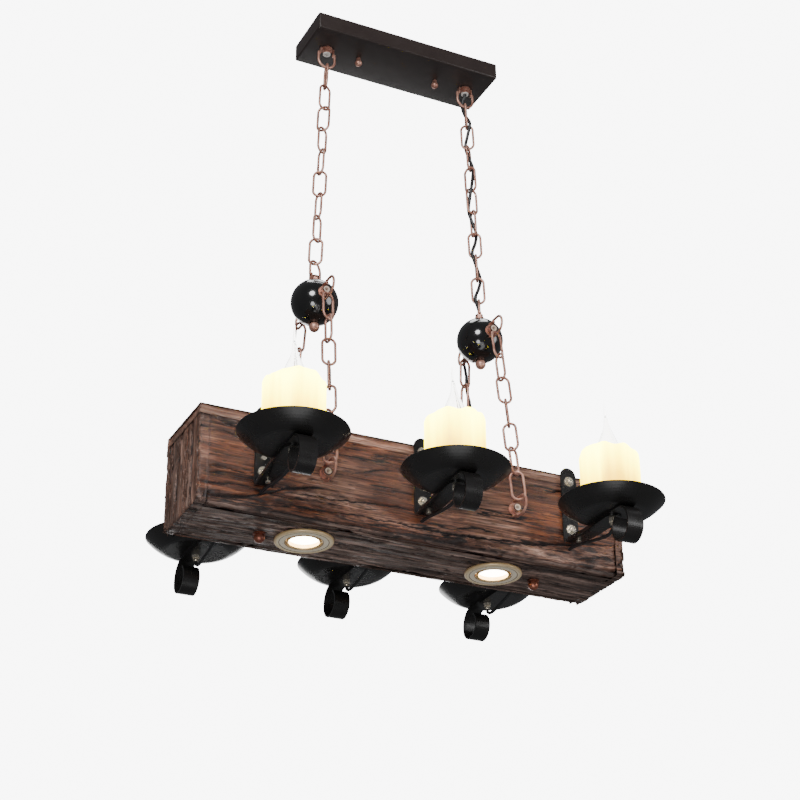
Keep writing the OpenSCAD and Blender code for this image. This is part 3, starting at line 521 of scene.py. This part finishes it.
FRONT_CRACKS = [
    (1.6, 3.5, [(-359, 119), (-334, 124), (-306, 116), (-285, 114)]),
    (1.6, 3.0, [(-378, 31), (-313, 40), (-282, 41), (-262, 39)]),
    (3.2, 5.5, [(-377, 18), (-355, 20), (-330, 18), (-307, 20), (-277, 29), (-228, 48), (-184, 58),
                (-149, 61)]),
    (1.6, 3.2, [(-264, 24), (-228, 23), (-178, 22), (-130, 25), (-76, 24), (-30, 25), (20, 19)]),
    (1.7, 3.6, [(-220, 40), (-175, 45), (-130, 46), (-76, 49), (-30, 52), (0, 50)]),
    (1.8, 3.2, [(-130, 90), (-114, 96), (-90, 103), (-54, 111), (-38, 113)]),
    (2.2, 3.4, [(-95, 122), (-68, 134), (-29, 142)]),
    (1.4, 2.8, [(-76, 128), (-48, 131), (-22, 133)]),
    (1.4, 2.6, [(145, 128), (183, 131), (225, 137)]),
    (1.3, 2.6, [(201, 128), (225, 126), (249, 129)]),
    (1.3, 2.6, [(192, 116), (221, 116), (245, 118)]),
    (2.9, 5.5, [(-60, 26), (-6, 25), (36, 24), (87, 24), (109, 25), (150, 28), (194, 31), (250, 38),
                (299, 48), (369, 57)]),
    (1.9, 3.6, [(44, 29), (70, 35), (100, 40), (150, 37)]),
    (1.6, 3.0, [(261, 19), (312, 25), (368, 40)]),
    (1.4, 2.6, [(-10, 96), (30, 94), (62, 97)]),
    (1.3, 2.4, [(120, 72), (160, 70), (214, 74)]),
    (1.4, 2.6, [(290, 98), (322, 101), (356, 96)]),
    (1.3, 2.4, [(-352, 84), (-320, 86), (-292, 83)]),
    (2.6, 6.0, [(-352, 146), (-330, 138), (-300, 133), (-262, 131)]),
    (2.4, 5.5, [(-215, 146), (-196, 136), (-170, 129), (-138, 126)]),
    (2.8, 6.5, [(-30, 146), (-8, 139), (26, 133), (70, 131)]),
    (2.2, 5.0, [(66, 146), (88, 138), (118, 134)]),
    (2.6, 6.0, [(300, 146), (280, 137), (246, 131), (214, 129)]),
    (2.0, 4.5, [(372, 130), (340, 127), (310, 128)]),
    (1.8, 4.0, [(-370, 60), (-340, 64), (-300, 60), (-270, 63)]),
    (1.8, 4.0, [(300, 74), (330, 70), (370, 74)]),
]
RIDGE = [(-380, 18), (-307, 22), (-277, 29), (-228, 46), (-184, 56), (-149, 58), (-100, 52), (-60, 40),
         (-20, 27), (109, 27), (194, 32), (250, 38), (299, 48), (380, 58)]
UNDER_CRACKS = [
    (2.2, 4.0, [(-20, -44), (44, -38), (115, -34), (232, -33), (329, -44), (352, -50)]),
    (1.9, 3.6, [(-350, 14), (-300, 20), (-240, 17), (-200, 24)]),
    (2.4, 4.2, [(-352, -17), (-327, -19), (-272, -41), (-215, -45)]),
    (2.6, 4.2, [(-352, -6), (-292, -15), (-194, -43), (-119, -50), (-62, -48), (-13, -43)]),
    (1.8, 3.4, [(-342, 28), (-310, 24), (-292, 15)]),
    (2.4, 4.0, [(-352, 50), (-284, 54), (-241, 53), (-148, 55)]),
    (2.2, 3.8, [(-90, 40), (-30, 48), (18, 54), (77, 55), (120, 52)]),
    (1.8, 3.2, [(216, 44), (276, 43), (340, 38)]),
    (1.6, 3.0, [(-100, 8), (-40, 4), (30, 7), (90, 2), (112, 0)]),
    (1.6, 3.0, [(222, 12), (280, 6), (350, 10)]),
    (1.4, 2.6, [(-60, -20), (0, -16), (60, -18), (108, -12)]),
    (1.4, 2.6, [(222, -14), (270, -18), (330, -16)]),
]
END_CRACKS = [
    (2.6, 5.0, [(49, 152), (45, 90), (42, 14)]),
    (2.2, 4.4, [(21, 150), (24, 80), (26, 2)]),
    (2.4, 4.8, [(-13, 140), (-9, 70), (-10, 0)]),
    (2.8, 5.2, [(-37, 150), (-43, 70), (-46, -4)]),
    (1.6, 3.2, [(72, 140), (70, 60)]),
    (1.6, 3.2, [(5, 120), (2, 40)]),
    (1.6, 3.4, [(-60, 120), (-62, 20)]),
    (1.5, 3.0, [(34, 60), (36, 0)]),
]


def splits(a, b, seed, level):
    """Thin long cracks along the crest of a noise: depth and darkness, both 0 to 1; the darkness is painted
    shade in the cracks.
    """
    crest = 1 - np.abs(2 * fbm(a, b, seed, 3) - 1)
    where = np.clip((fbm(a * 0.7, b * 0.5, seed + 3, 2) - 0.42) * 6, 0, 1)
    cut = np.clip((crest - level) / (1 - level), 0, 1) * where
    return cut ** 0.6, np.clip(cut * 2.2, 0, 1)


def side_skin(u, h, seed, lines):
    """Depth, paleness, darkness and rawness of a long side face at (u, h), in millimetres; the darkness
    holds painted shade in cracks and deep hollows.
    """
    ridge = np.interp(u, [p[0] for p in RIDGE], [p[1] for p in RIDGE])
    ridge = ridge + 7 * (fbm(u / 30, u * 0, seed + 5, 3) - 0.5)
    low = np.clip((ridge - h) / 6, 0, 1)
    depth = 1.5 + 1.3 * fbm(u / 150, h / 22, seed) + 0.55 * fbm(u / 60, h / 2.6, seed + 1, 3)
    lumps = fbm(u / 34, h / 9, seed + 2, 4)
    depth = depth + low * (8.5 * (lumps - 0.32) + 2.6 * (fbm(u / 9, h / 3, seed + 4, 2) - 0.5))
    upper = np.clip((h - 122) / 14, 0, 1)
    depth = depth + upper * 2.6 * (fbm(u / 40, h / 5, seed + 6, 3) - 0.35)
    wave = 9 + 10 * fbm(u / 46, u * 0 + 3, seed + 8, 3)
    foot = 0.55 + 0.8 * fbm(u / 18, u * 0 + 9, seed + 12, 3)
    depth = depth + 11.0 * np.clip(1 - h / wave, 0, 1) ** 1.5 * foot
    # cracks and splits bring painted shade along their grooves
    cut, dark = cracks(u, h, lines, seed + 11)
    thin, shade = splits(u / 150, h / 6.0, seed + 21, 0.925)
    cut = np.maximum(cut, 2.6 * thin)
    dark = np.maximum(dark, shade)
    thin, shade = splits(u / 105, h / 3.4, seed + 27, 0.955)
    cut = np.maximum(cut, 1.6 * thin)
    dark = np.maximum(dark, 0.65 * shade)
    corner = np.clip(1 - (HALF_L / MM - np.abs(u)) / 10, 0, 1) ** 1.3
    depth = depth + 9.0 * corner * np.clip(fbm(h / 9, u / 40, seed + 31, 3) - 0.22, 0, 1)
    depth = depth + cut
    pale = 0.42 + 0.9 * (fbm(u / 130, h / 60, seed + 9, 3) - 0.5)
    pale = pale + 0.55 * np.exp(-((u + 150) / 62) ** 2) * np.exp(-((h - 72) / 48) ** 2)
    pale = pale + 0.50 * np.exp(-((u - 120) / 70) ** 2) * np.exp(-((h - 55) / 36) ** 2)
    pale = pale - 0.42 * np.exp(-((u + 318) / 40) ** 2) - 0.45 * np.exp(-((u + 20) / 48) ** 2) * (h > 30)
    pale = pale - 0.42 * np.exp(-((u - 225) / 46) ** 2) * (h > 40)
    pale = pale + low * 0.25 * (lumps - 0.2)
    raw = 0.08 + 0.55 * low * (0.5 + 0.8 * (0.55 - lumps)) + 0.35 * upper
    # painted shade: the face is darkened where it is carved deeper than 4.4 mm
    dark = np.maximum(dark, np.clip((depth - cut - 4.4) / 5, 0, 0.55))
    dark = np.maximum(dark, low * np.clip((0.42 - lumps) * 4.5, 0, 0.8))
    return depth, pale, dark, raw


def under_skin(u, y, seed):
    """The same four values for the underside, in bold streaks and with broken long edges."""
    depth = 1.2 + 1.4 * fbm(u / 130, y / 16, seed) + 1.1 * fbm(u / 80, y / 3.2, seed + 1, 3)
    edge = np.clip(1 - (HALF_W / MM - np.abs(y)) / (7 + 6 * fbm(u / 40, y * 0, seed + 2, 3)), 0, 1)
    depth = depth + 7.0 * edge ** 1.4 * (0.5 + fbm(u / 22, y / 30, seed + 9, 3))
    # cracks and splits bring painted shade along their grooves
    cut, dark = cracks(u, y, UNDER_CRACKS, seed + 5)
    thin, shade = splits(u / 80, y / 5.0, seed + 21, 0.90)
    cut = np.maximum(cut, 2.6 * thin)
    dark = np.maximum(dark, shade)
    streak = fbm(u / 90, y / 4.5, seed + 7, 4)
    raw = 0.86 + 0.5 * (streak - 0.5)
    pale = 0.4 + 0.3 * (streak - 0.5)
    dark = np.maximum(dark, np.clip((streak - 0.62) * 4, 0, 0.6))
    return depth + cut, pale, dark, raw


def end_skin(y, h, seed):
    """The same four values for an end board, whose grain stands upright."""
    depth = 1.0 + 3.6 * fbm(y / 12, h / 90, seed, 4) + 2.2 * fbm(y / 3.4, h / 70, seed + 1, 3)
    lines = [(w, d, [(b, a) for a, b in line]) for w, d, line in END_CRACKS]
    # cracks and splits bring painted shade along their grooves
    cut, dark = cracks(h, y, lines, seed + 2)
    thin, shade = splits(h / 60, y / 4.6, seed + 21, 0.88)
    cut = np.maximum(cut, 3.2 * thin)
    dark = np.maximum(dark, shade)
    streak = fbm(y / 4.5, h / 60, seed + 4, 4)
    edge = np.clip(1 - (HALF_W / MM - np.abs(y)) / 7, 0, 1) + np.clip(1 - h / 9, 0, 1)
    chips = np.clip(fbm(h / 11, y / 20, seed + 8, 3) - 0.34, 0, 1) * 3.2
    depth = depth + 8.5 * np.clip(edge, 0, 1) ** 1.2 * chips
    dark = np.maximum(dark, np.clip((0.36 - streak) * 3, 0, 0.6))
    return depth + cut, 0.55 + 0.5 * (streak - 0.5), dark, 0.55 + 0.4 * (streak - 0.5)


def edge_skin(u, h, seed):
    """Front and rear edge of the top board: rough sawn, with a painted orange highlight, a painted shadow
    line along the seam at its foot and painted shade in its deepest hollows.
    """
    depth = 0.8 + 3.4 * fbm(u / 46, h / 9, seed, 4) + 1.2 * fbm(u / 10, h / 3.2, seed + 1, 3)
    low = np.clip(1 - (h - SIDE_H) / 3.5, 0, 1)
    depth = depth + 3.4 * low * fbm(u / 25, u * 0, seed + 3, 3)
    depth = depth + 2.5 * np.clip(1 - (SIDE_H + 20 - h) / 4, 0, 1) * fbm(u / 30, u * 0 + 7, seed + 5, 3)
    # painted highlight: the paleness is set high so that the edge reads as lit orange
    tone = fbm(u / 55, h / 7, seed + 2, 3)
    slope = 3.4 * np.clip((h - SIDE_H - 4) / 16, 0, 1)
    # painted shade in hollows deeper than 4.6 mm, and a painted shadow line along the lowest 2.2 mm, at the
    # seam with the side board
    dark = np.maximum(np.clip((depth - 4.6) / 4, 0, 0.8), 0.9 * np.clip(1 - (h - SIDE_H) / 2.2, 0, 1))
    return depth + slope, 0.45 + 0.8 * tone, dark, 0.10 + 0.5 * (0.5 - tone)


def plain_skin(a, b, seed):
    """The same four values for the top face: flat, with a fine grain."""
    depth = 1.0 + 1.6 * fbm(a / 90, b / 14, seed) + 0.9 * fbm(a / 40, b / 3, seed + 1, 3)
    streak = fbm(a / 90, b / 6, seed + 4, 4)
    dark = np.clip((streak - 0.66) * 4, 0, 0.6)
    return depth, 0.45 + 0.5 * (streak - 0.5), dark, 0.45 + 0.4 * (streak - 0.5)


def board(name, node, steps, skins, key, holes=(), long_key=None):
    """A closed box of dense grids over the CAD board's own box; each named face is carved by its skin."""
    lo, hi = span(node)
    n = [max(2, int(round((hi[k] - lo[k]) / MM / steps[k]))) for k in range(3)]
    index, verts = {}, []

    def vid(i, j, k):
        place = (i, j, k)
        if place not in index:
            index[place] = len(verts)
            verts.append((lo[0] + (hi[0] - lo[0]) * i / n[0], lo[1] + (hi[1] - lo[1]) * j / n[1],
                          lo[2] + (hi[2] - lo[2]) * k / n[2]))
        return index[place]

    faces = []
    for k, flip in ((0, True), (n[2], False)):
        for i in range(n[0]):
            for j in range(n[1]):
                f = [vid(i, j, k), vid(i + 1, j, k), vid(i + 1, j + 1, k), vid(i, j + 1, k)]
                faces.append(f[::-1] if flip else f)
    for j, flip in ((0, False), (n[1], True)):
        for i in range(n[0]):
            for k in range(n[2]):
                f = [vid(i, j, k), vid(i + 1, j, k), vid(i + 1, j, k + 1), vid(i, j, k + 1)]
                faces.append(f[::-1] if flip else f)
    for i, flip in ((0, True), (n[0], False)):
        for j in range(n[1]):
            for k in range(n[2]):
                f = [vid(i, j, k), vid(i, j + 1, k), vid(i, j + 1, k + 1), vid(i, j, k + 1)]
                faces.append(f[::-1] if flip else f)
    P = np.array(verts)
    x, y, h = P[:, 0] / MM, P[:, 1] / MM, (P[:, 2] - BASE_Z) / MM
    move = np.zeros_like(P)
    pale, dark, raw = np.full(len(P), 0.4), np.zeros(len(P)), np.full(len(P), 0.4)
    for face, skin in skins.items():
        axis, side = "xyz".index(face[1]), face[0]
        on = np.abs(P[:, axis] - (lo if side == "-" else hi)[axis]) < 1e-7
        d, p, k, r = skin(x[on], y[on], h[on])
        move[on, axis] += np.maximum(d, 0.05) * MM * (1 if side == "-" else -1)
        pale[on], raw[on] = p, r
        dark[on] = np.maximum(dark[on], k)
    ob = new_mesh(name, P + move, faces)
    add_attribute(ob, "pale", np.clip(pale, 0, 1))
    add_attribute(ob, "dark", np.clip(dark, 0, 1))
    add_attribute(ob, "raw", np.clip(raw, 0, 1))
    ob.data.materials.append(MATS[key])
    if long_key:
        ob.data.materials.append(MATS[long_key])
        for poly in ob.data.polygons:
            if abs(poly.normal.x) < 0.75:
                poly.material_index = 1
    for centre, radius in holes:
        bpy.ops.mesh.primitive_cylinder_add(vertices=48, radius=radius, depth=0.08, location=centre)
        cutter = bpy.context.object
        mod = ob.modifiers.new("hole", "BOOLEAN")
        mod.operation, mod.object, mod.solver = "DIFFERENCE", cutter, "EXACT"
        dg = bpy.context.evaluated_depsgraph_get()
        me = bpy.data.meshes.new_from_object(ob.evaluated_get(dg))
        ob.modifiers.clear()
        ob.data = me
        bpy.data.objects.remove(cutter, do_unlink=True)
    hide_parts(node)
    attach(ob, "beam_unit")


REAR_CRACKS = [(w, d, [(-a + 14, b) for a, b in line[::-1]]) for w, d, line in FRONT_CRACKS]
spot_x = span("spot_trims")[1][0] - TRIM_R
board("wood_front", "beam_front_board", (3.0, 5.0, 1.5), {
    "-y": lambda x, y, h: side_skin(x, h, 1, FRONT_CRACKS),
    "-z": lambda x, y, h: under_skin(x, y, 40)}, "wood_x")
board("wood_rear", "beam_rear_board", (3.0, 5.0, 1.8), {
    "+y": lambda x, y, h: side_skin(x, h, 71, REAR_CRACKS),
    "-z": lambda x, y, h: under_skin(x, y, 40)}, "wood_x")
board("wood_bottom", "beam_bottom_board", (3.0, 1.7, 6.0), {
    "-z": lambda x, y, h: under_skin(x, y, 40)}, "wood_x",
    holes=[((s * spot_x, 0, BASE_Z), LAMP_HOLE_R) for s in (-1, 1)])
board("wood_top", "beam_top_board", (3.0, 2.6, 1.5), {
    "-y": lambda x, y, h: edge_skin(x, h, 21),
    "+y": lambda x, y, h: edge_skin(x, h, 23),
    "-x": lambda x, y, h: edge_skin(y * 1.3, h, 25),
    "+x": lambda x, y, h: edge_skin(y * 1.3, h, 27),
    "+z": lambda x, y, h: plain_skin(x, y, 29)}, "wood_x")

for side, sx, seed in (("left", "-x", 31), ("right", "+x", 37)):
    board("wood_end_" + side, "beam_end_" + side, (4.0, 1.6, 2.6), {
        sx: lambda x, y, h, s=seed: end_skin(y, h, s),
        "-y": lambda x, y, h: side_skin(x, h, 1, FRONT_CRACKS),
        "+y": lambda x, y, h: side_skin(x, h, 71, REAR_CRACKS),
        "-z": lambda x, y, h: under_skin(x, y, 40)}, "wood_z", long_key="wood_x")


# ------------------------------------------------------------------ candles
def candle(cx, cy, up, seed):
    """Hollow wax sleeve with soft vertical ribs, drips and an uneven rim."""
    sides, outer, wall, foot = 144, 0.049, 0.004, FLOOR_Z + up + 0.0002
    a = np.arange(sides) / sides * 2 * np.pi

    def soft(f, s):
        return fbm(4 * np.cos(a) * f + 11, 4 * np.sin(a) * f + 5, s, 2, 0.35)

    rim = CANDLE_H - 0.0005 - 0.018 * np.clip(soft(0.42, seed) - 0.40, 0, 1) - 0.0042 * soft(1.0, seed + 3)
    ribs = soft(1.1, seed + 5)
    levels = np.concatenate([np.linspace(0, 0.9, 22), np.array([0.94, 0.97, 0.99, 1.0])])
    verts, faces = [], []
    for t in levels:
        round_top = 0.0018 * max(0.0, (t - 0.94) / 0.06) ** 2
        r = outer - 0.0022 * ribs - 0.0008 * fbm(a * 3 + seed, a * 0 + t * 5, seed + 9, 2) - round_top
        for k in range(sides):
            verts.append((cx + r[k] * math.cos(a[k]), cy + r[k] * math.sin(a[k]), foot + rim[k] * t))
    inner_levels = [1.0, 0.99, 0.96, 0.8, 0.5, 0.2, 0.0]
    for t in inner_levels:
        r = outer - wall - 0.0012 * ribs + (0.0014 if t == 1.0 else 0.0)
        for k in range(sides):
            verts.append((cx + r[k] * math.cos(a[k]), cy + r[k] * math.sin(a[k]), foot + rim[k] * t))
    rows = len(levels) + len(inner_levels)
    for n in range(rows):
        m = (n + 1) % rows
        for k in range(sides):
            j = (k + 1) % sides
            faces.append((n * sides + k, n * sides + j, m * sides + j, m * sides + k))
    return np.array(verts), faces


def shift_of(sx, sy):
    return FRONT_SHIFT[sx] if sy < 0 else (0.0, 0.0)


ARMS = [(sx * ARM_X + shift_of(sx, sy)[0], sy * DISH_Y, shift_of(sx, sy)[1])
        for sy in (-1, 1) for sx in (-1, 0, 1)]
wax_ob = joined("candle_wax", [candle(x, y, up, 50 + 13 * n) for n, (x, y, up) in enumerate(ARMS)])
wax_ob.data.materials.append(MATS["wax"])
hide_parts("candle_sleeves")
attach(wax_ob, "beam_unit")
wax_ob.visible_diffuse = False
wax_ob.visible_glossy = False


# ------------------------------------------------------------------ bulbs
BULB_Z = span("bulb_glasses")[0][2]


def bulb(cx, cy, up, turn, inset=0.0):
    """Bent-tip candle bulb; an inset gives the inner face of the glass."""
    outline = [(0.0, 0.0), (4.0, 0.2), (6.8, 1.2), (8.6, 4), (11.4, 8), (14.2, 12), (16.4, 17), (17.8, 22),
               (18.2, 28), (17.9, 33), (16.9, 38), (15.2, 44), (13.0, 50), (10.6, 56), (8.2, 62), (6.3, 67),
               (4.7, 73), (3.6, 79), (2.9, 86), (2.3, 93), (1.9, 100), (1.5, 107), (1.1, 113),
               (0.6, 117.5), (0.0, 118.4)]
    prof = [(max(r - inset, 0.0) if r > 0 else 0.0, z + (inset if z < 30 else -inset)) for r, z in outline]
    if inset:
        prof = [p for p in prof if 0 < p[0] or p[1] < 30]
        cut = [p for p in prof if p[1] < 92 and (p[0] > 0.3 or p[1] < 5)]
        prof = cut + [(0.0, 94.0)]
    v, f = lathe([(r * MM, z * MM) for r, z in prof], 40)
    z = v[:, 2] / MM
    s = np.clip(z - 58, 0, 70) / 60
    bend = 9.5 * s ** 2 - 7.5 * s ** 3.2
    v[:, 0] += bend * MM * math.cos(turn)
    v[:, 1] += bend * MM * math.sin(turn)
    v += np.array([cx, cy, BULB_Z + up])
    if inset:
        f = [face[::-1] for face in f]
    return v, f


turns = [math.radians(t) for t in (205, 150, 175, 40, 310, 95)]
parts = []
for (x, y, up), t in zip(ARMS, turns):
    parts.append(bulb(x, y, up, t))
    parts.append(bulb(x, y, up, t, 0.7))
glass_ob = joined("bulb_glass", parts)
glass_ob.data.materials.append(MATS["bulb_glass"])
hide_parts("bulb_glasses")
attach(glass_ob, "beam_unit")


def tube(points, radius, sides):
    """Vertices and faces of a round closed tube along the points."""
    line = np.array(points, float)
    ways = np.gradient(line, axis=0)
    ways /= np.linalg.norm(ways, axis=1)[:, None]
    verts, faces = [], []
    ref = np.array([1.0, 0.02, 0.01]) if abs(ways[0][0]) < 0.9 else np.array([0.0, 1.0, 0.0])
    for p, t in zip(line, ways):
        ref = ref - t * (ref @ t)
        ref /= np.linalg.norm(ref)
        w = np.cross(t, ref)
        for k in range(sides):
            a = 2 * math.pi * k / sides
            verts.append(p + radius * (math.cos(a) * ref + math.sin(a) * w))
    n = len(line)
    for i in range(n - 1):
        for k in range(sides):
            j = (k + 1) % sides
            faces.append((i * sides + k, i * sides + j, (i + 1) * sides + j, (i + 1) * sides + k))
    faces.append(tuple(range(sides - 1, -1, -1)))
    faces.append(tuple((n - 1) * sides + k for k in range(sides)))
    return np.array(verts), faces


# glowing sticks inside each bulb, on two fine wires
parts, wires = [], []
for x, y, up in ARMS:
    base = np.array([x, y, BULB_Z + up])
    for k in range(4):
        a = 2 * math.pi * k / 4 + 0.4
        p0 = base + np.array([0.0042 * math.cos(a), 0.0042 * math.sin(a), 0.012])
        p1 = base + np.array([0.0030 * math.cos(a), 0.0030 * math.sin(a), 0.044])
        parts.append(tube([p0 + (p1 - p0) * t for t in np.linspace(0, 1, 6)], 0.0008, 8))
    for s in (-1, 1):
        wires.append(tube([base + np.array([s * 0.0015, 0, 0.0015]), base + np.array([s * 0.0016, 0, 0.007]),
                           base + np.array([s * 0.0030, 0, 0.0115])], 0.0003, 6))
stick_ob = joined("filaments", parts)
stick_ob.data.materials.append(MATS["filament"])
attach(stick_ob, "beam_unit")
wire_ob = joined("filament_wires", wires)
wire_ob.data.materials.append(MATS["zinc"])
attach(wire_ob, "beam_unit")


# ------------------------------------------------------------------ canopy box with rolled edges
can_lo, can_hi = span("canopy_shell")
bm = bmesh.new()
bmesh.ops.create_cube(bm, size=1.0)
for vert in bm.verts:
    vert.co = [can_lo[k] + (can_hi[k] - can_lo[k]) * (vert.co[k] + 0.5) for k in range(3)]
bmesh.ops.delete(bm, geom=[face for face in bm.faces if face.normal.z > 0.5], context="FACES_ONLY")
rolled = [edge for edge in bm.edges if len(edge.link_faces) == 2]
bmesh.ops.bevel(bm, geom=rolled, offset=0.0034, segments=6, profile=0.5, affect="EDGES")
me = bpy.data.meshes.new("canopy_box")
bm.to_mesh(me)
bm.free()
can_ob = bpy.data.objects.new("canopy_box", me)
bpy.context.scene.collection.objects.link(can_ob)
mod = can_ob.modifiers.new("sheet", "SOLIDIFY")
mod.thickness, mod.offset = 0.0012, -1.0
dg = bpy.context.evaluated_depsgraph_get()
can_ob.data = bpy.data.meshes.new_from_object(can_ob.evaluated_get(dg))
can_ob.modifiers.clear()
can_ob.data.polygons.foreach_set("use_smooth", [True] * len(can_ob.data.polygons))
can_ob.data.set_sharp_from_angle(angle=math.radians(40))
can_ob.data.materials.clear()
can_ob.data.materials.append(MATS["canopy"])
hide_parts("canopy_shell")
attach(can_ob, "canopy")


# ------------------------------------------------------------------ downlight trims
groove = [(r, -2.9 if k % 2 else -2.1) for k, r in enumerate(np.arange(31.4, 44.2, 0.9))]
trim_line = ([(28.5, 2.9), (28.5, -0.6), (28.9, -1.6), (29.8, -2.4), (30.6, -2.9)] + groove
             + [(44.6, -2.95), (45.7, -2.5), (46.6, -1.6), (47.0, -0.5), (46.8, 2.0), (36.0, 2.0),
                (36.0, 24.0), (34.6, 24.0), (34.6, 3.0)])
parts = []
for side in (-1, 1):
    v, f = lathe([(r * MM, z * MM) for r, z in trim_line], 96, closed=True)
    parts.append((v + np.array([side * spot_x, 0.0, BASE_Z]), f))
trim_ob = joined("downlight_trims", parts)
trim_tones = [(0.0, (0.80, 0.55, 0.25)), (0.60, (0.95, 0.70, 0.36)), (0.64, (0.35, 0.23, 0.12)),
              (0.67, (1.0, 0.88, 0.68)), (0.80, (1.0, 0.90, 0.72)), (0.83, (0.30, 0.20, 0.11)),
              (0.86, (0.98, 0.84, 0.60)), (0.92, (0.92, 0.74, 0.48)), (1.0, (0.60, 0.42, 0.22))]
trim_ob.data.materials.append(rings("champagne_rings", trim_ob, 0.11, 1, trim_tones, 0.26, 0.25))
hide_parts("spot_trims")
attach(trim_ob, "beam_unit")


# ------------------------------------------------------------------ supply cable
# in pieces cut at the joints, only the middle one riding on the right chain; millimetres, the same points as
# in the CAD
ROUTE = [(139.5, 0, -35), (139.5, 0, -45), (136.1, 5.8, -64.2), (138.9, 1.7, -87.1), (143.9, -7.8, -110),
         (142.5, -1.4, -132.9), (141.2, 6.3, -155.8), (146.7, 4.2, -178.7), (151.7, -0.1, -201.6),
         (148.5, -4.1, -224.5), (144.4, -6.5, -247.4), (142.9, -1.3, -270.3), (142.8, 4.3, -293.3),
         (149.8, 4.4, -316.2), (156.5, 3.3, -339.1), (151.9, 0.4, -362), (144, -2.8, -384.9),
         (152, -0.3, -407.8), (161.5, 2.9, -430.7), (155.8, -0.8, -453.6), (147.3, -3.2, -476.5),
         (155.4, 0, -497.8), (155.4, 0, -508.8)]
route = np.array(ROUTE, float) * MM
line = []
for i in range(len(route) - 1):
    a, b, c, d = route[max(i - 1, 0)], route[i], route[i + 1], route[min(i + 2, len(route) - 1)]
    for t in np.arange(6) / 6:
        square, cube = 2 * a - 5 * b + 4 * c - d, 3 * b - a - 3 * c + d
        line.append(0.5 * (2 * b + (c - a) * t + square * t * t + cube * t ** 3))
line = np.array(line + [route[-1]])
CUTS = [-0.034, -0.096, -0.142, -0.415, -0.459, -0.510]
BENDS = [("canopy", "top_links", -0.050, -0.092), ("top_links", "right_chain", -0.099, -0.138), None,
         ("right_chain", "right_end_link", -0.419, -0.455), ("right_end_link", "beam_unit", -0.463, -0.498)]
first = 0
for n, bend_ in enumerate(BENDS):
    last = min(int(np.sum(line[:, 2] > CUTS[n + 1])), len(line) - 1)
    v, f = tube(line[first:last + 1], CABLE_R, 14)
    first = last
    ob = new_mesh("supply_cable_%d" % (n + 1), v, f)
    ob.data.materials.append(MATS["cable_sheath"])
    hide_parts("cable_upper")
    if bend_ is None:
        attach(ob, "right_chain")
    else:
        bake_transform(ob)


# ------------------------------------------------------------------ studio
def area(name, place, aim, size, power, colour=(1, 1, 1)):
    light = bpy.data.lights.new(name, "AREA")
    light.shape, light.size, light.energy, light.color = "DISK", size, power, colour
    ob = bpy.data.objects.new(name, light)
    ob.location = place
    ob.rotation_euler = (Vector(aim) - Vector(place)).to_track_quat("-Z", "Y").to_euler()
    bpy.context.scene.collection.objects.link(ob)
    return ob


MID = Vector((0, 0, -0.6))
area("key", (-2.2, -3.0, 0.6), MID, 1.5, 150)
area("fill", (2.8, -2.6, -0.6), MID, 2.0, 60)
area("top", (0.4, 0.6, 2.6), MID, 2.2, 80)
area("low", (-0.6, -2.2, -3.6), MID, 2.6, 34).data.specular_factor = 0.25
area("front", (-1.6, -2.2, -2.3), MID, 1.0, 26)
area("back", (0.8, 3.2, -0.4), MID, 2.0, 40)

world = bpy.data.worlds.new("studio")
world.use_nodes = True
bg = world.node_tree.nodes["Background"]
bg.inputs[0].default_value = (0.9, 0.92, 0.95, 1)
bg.inputs[1].default_value = 0.16
bpy.context.scene.world = world

# pale surroundings and floor, lit by themselves so that they stay even
m = Mat("pale_backdrop")
m.nt.nodes.remove(m.bsdf)
em = m.node("ShaderNodeEmission")
em.inputs[0].default_value = (0.92, 0.92, 0.92, 1)
em.inputs[1].default_value = 9.0
m.link(em.outputs[0], m.out.inputs[0])
v, f = lathe([(0.0, -9.0), (4.0, -8.6), (8.0, -6.0), (10.0, -0.6), (8.0, 5.0), (4.0, 7.4), (0.0, 8.0)], 48)
dome = new_mesh("backdrop", v, [face[::-1] for face in f])
dome.data.materials.append(m.mat)
for flag in ("visible_diffuse", "visible_glossy", "visible_shadow", "visible_volume_scatter"):
    setattr(dome, flag, False)

# ------------------------------------------------------------------ camera
yaw, pitch, roll = math.radians(26.11), math.radians(26.72), math.radians(-0.47)
forward = Vector((math.sin(yaw) * math.cos(pitch), math.cos(yaw) * math.cos(pitch), math.sin(pitch)))
right = Vector((math.cos(yaw), -math.sin(yaw), 0))
up = right.cross(forward)
right2 = right * math.cos(roll) + up * math.sin(roll)
up2 = up * math.cos(roll) - right * math.sin(roll)
cam_data = bpy.data.cameras.new("camera")
cam_data.sensor_width = 36
cam_data.lens = 81.39
cam_data.dof.use_dof = False
cam_data.clip_end = 100
cam = bpy.data.objects.new("camera", cam_data)
bpy.context.scene.collection.objects.link(cam)
rot = Matrix((right2, up2, -forward)).transposed()
cam.matrix_world = Matrix.Translation(Vector((-1.1761, -2.4016, -2.0508))) @ rot.to_4x4()
bpy.context.scene.camera = cam
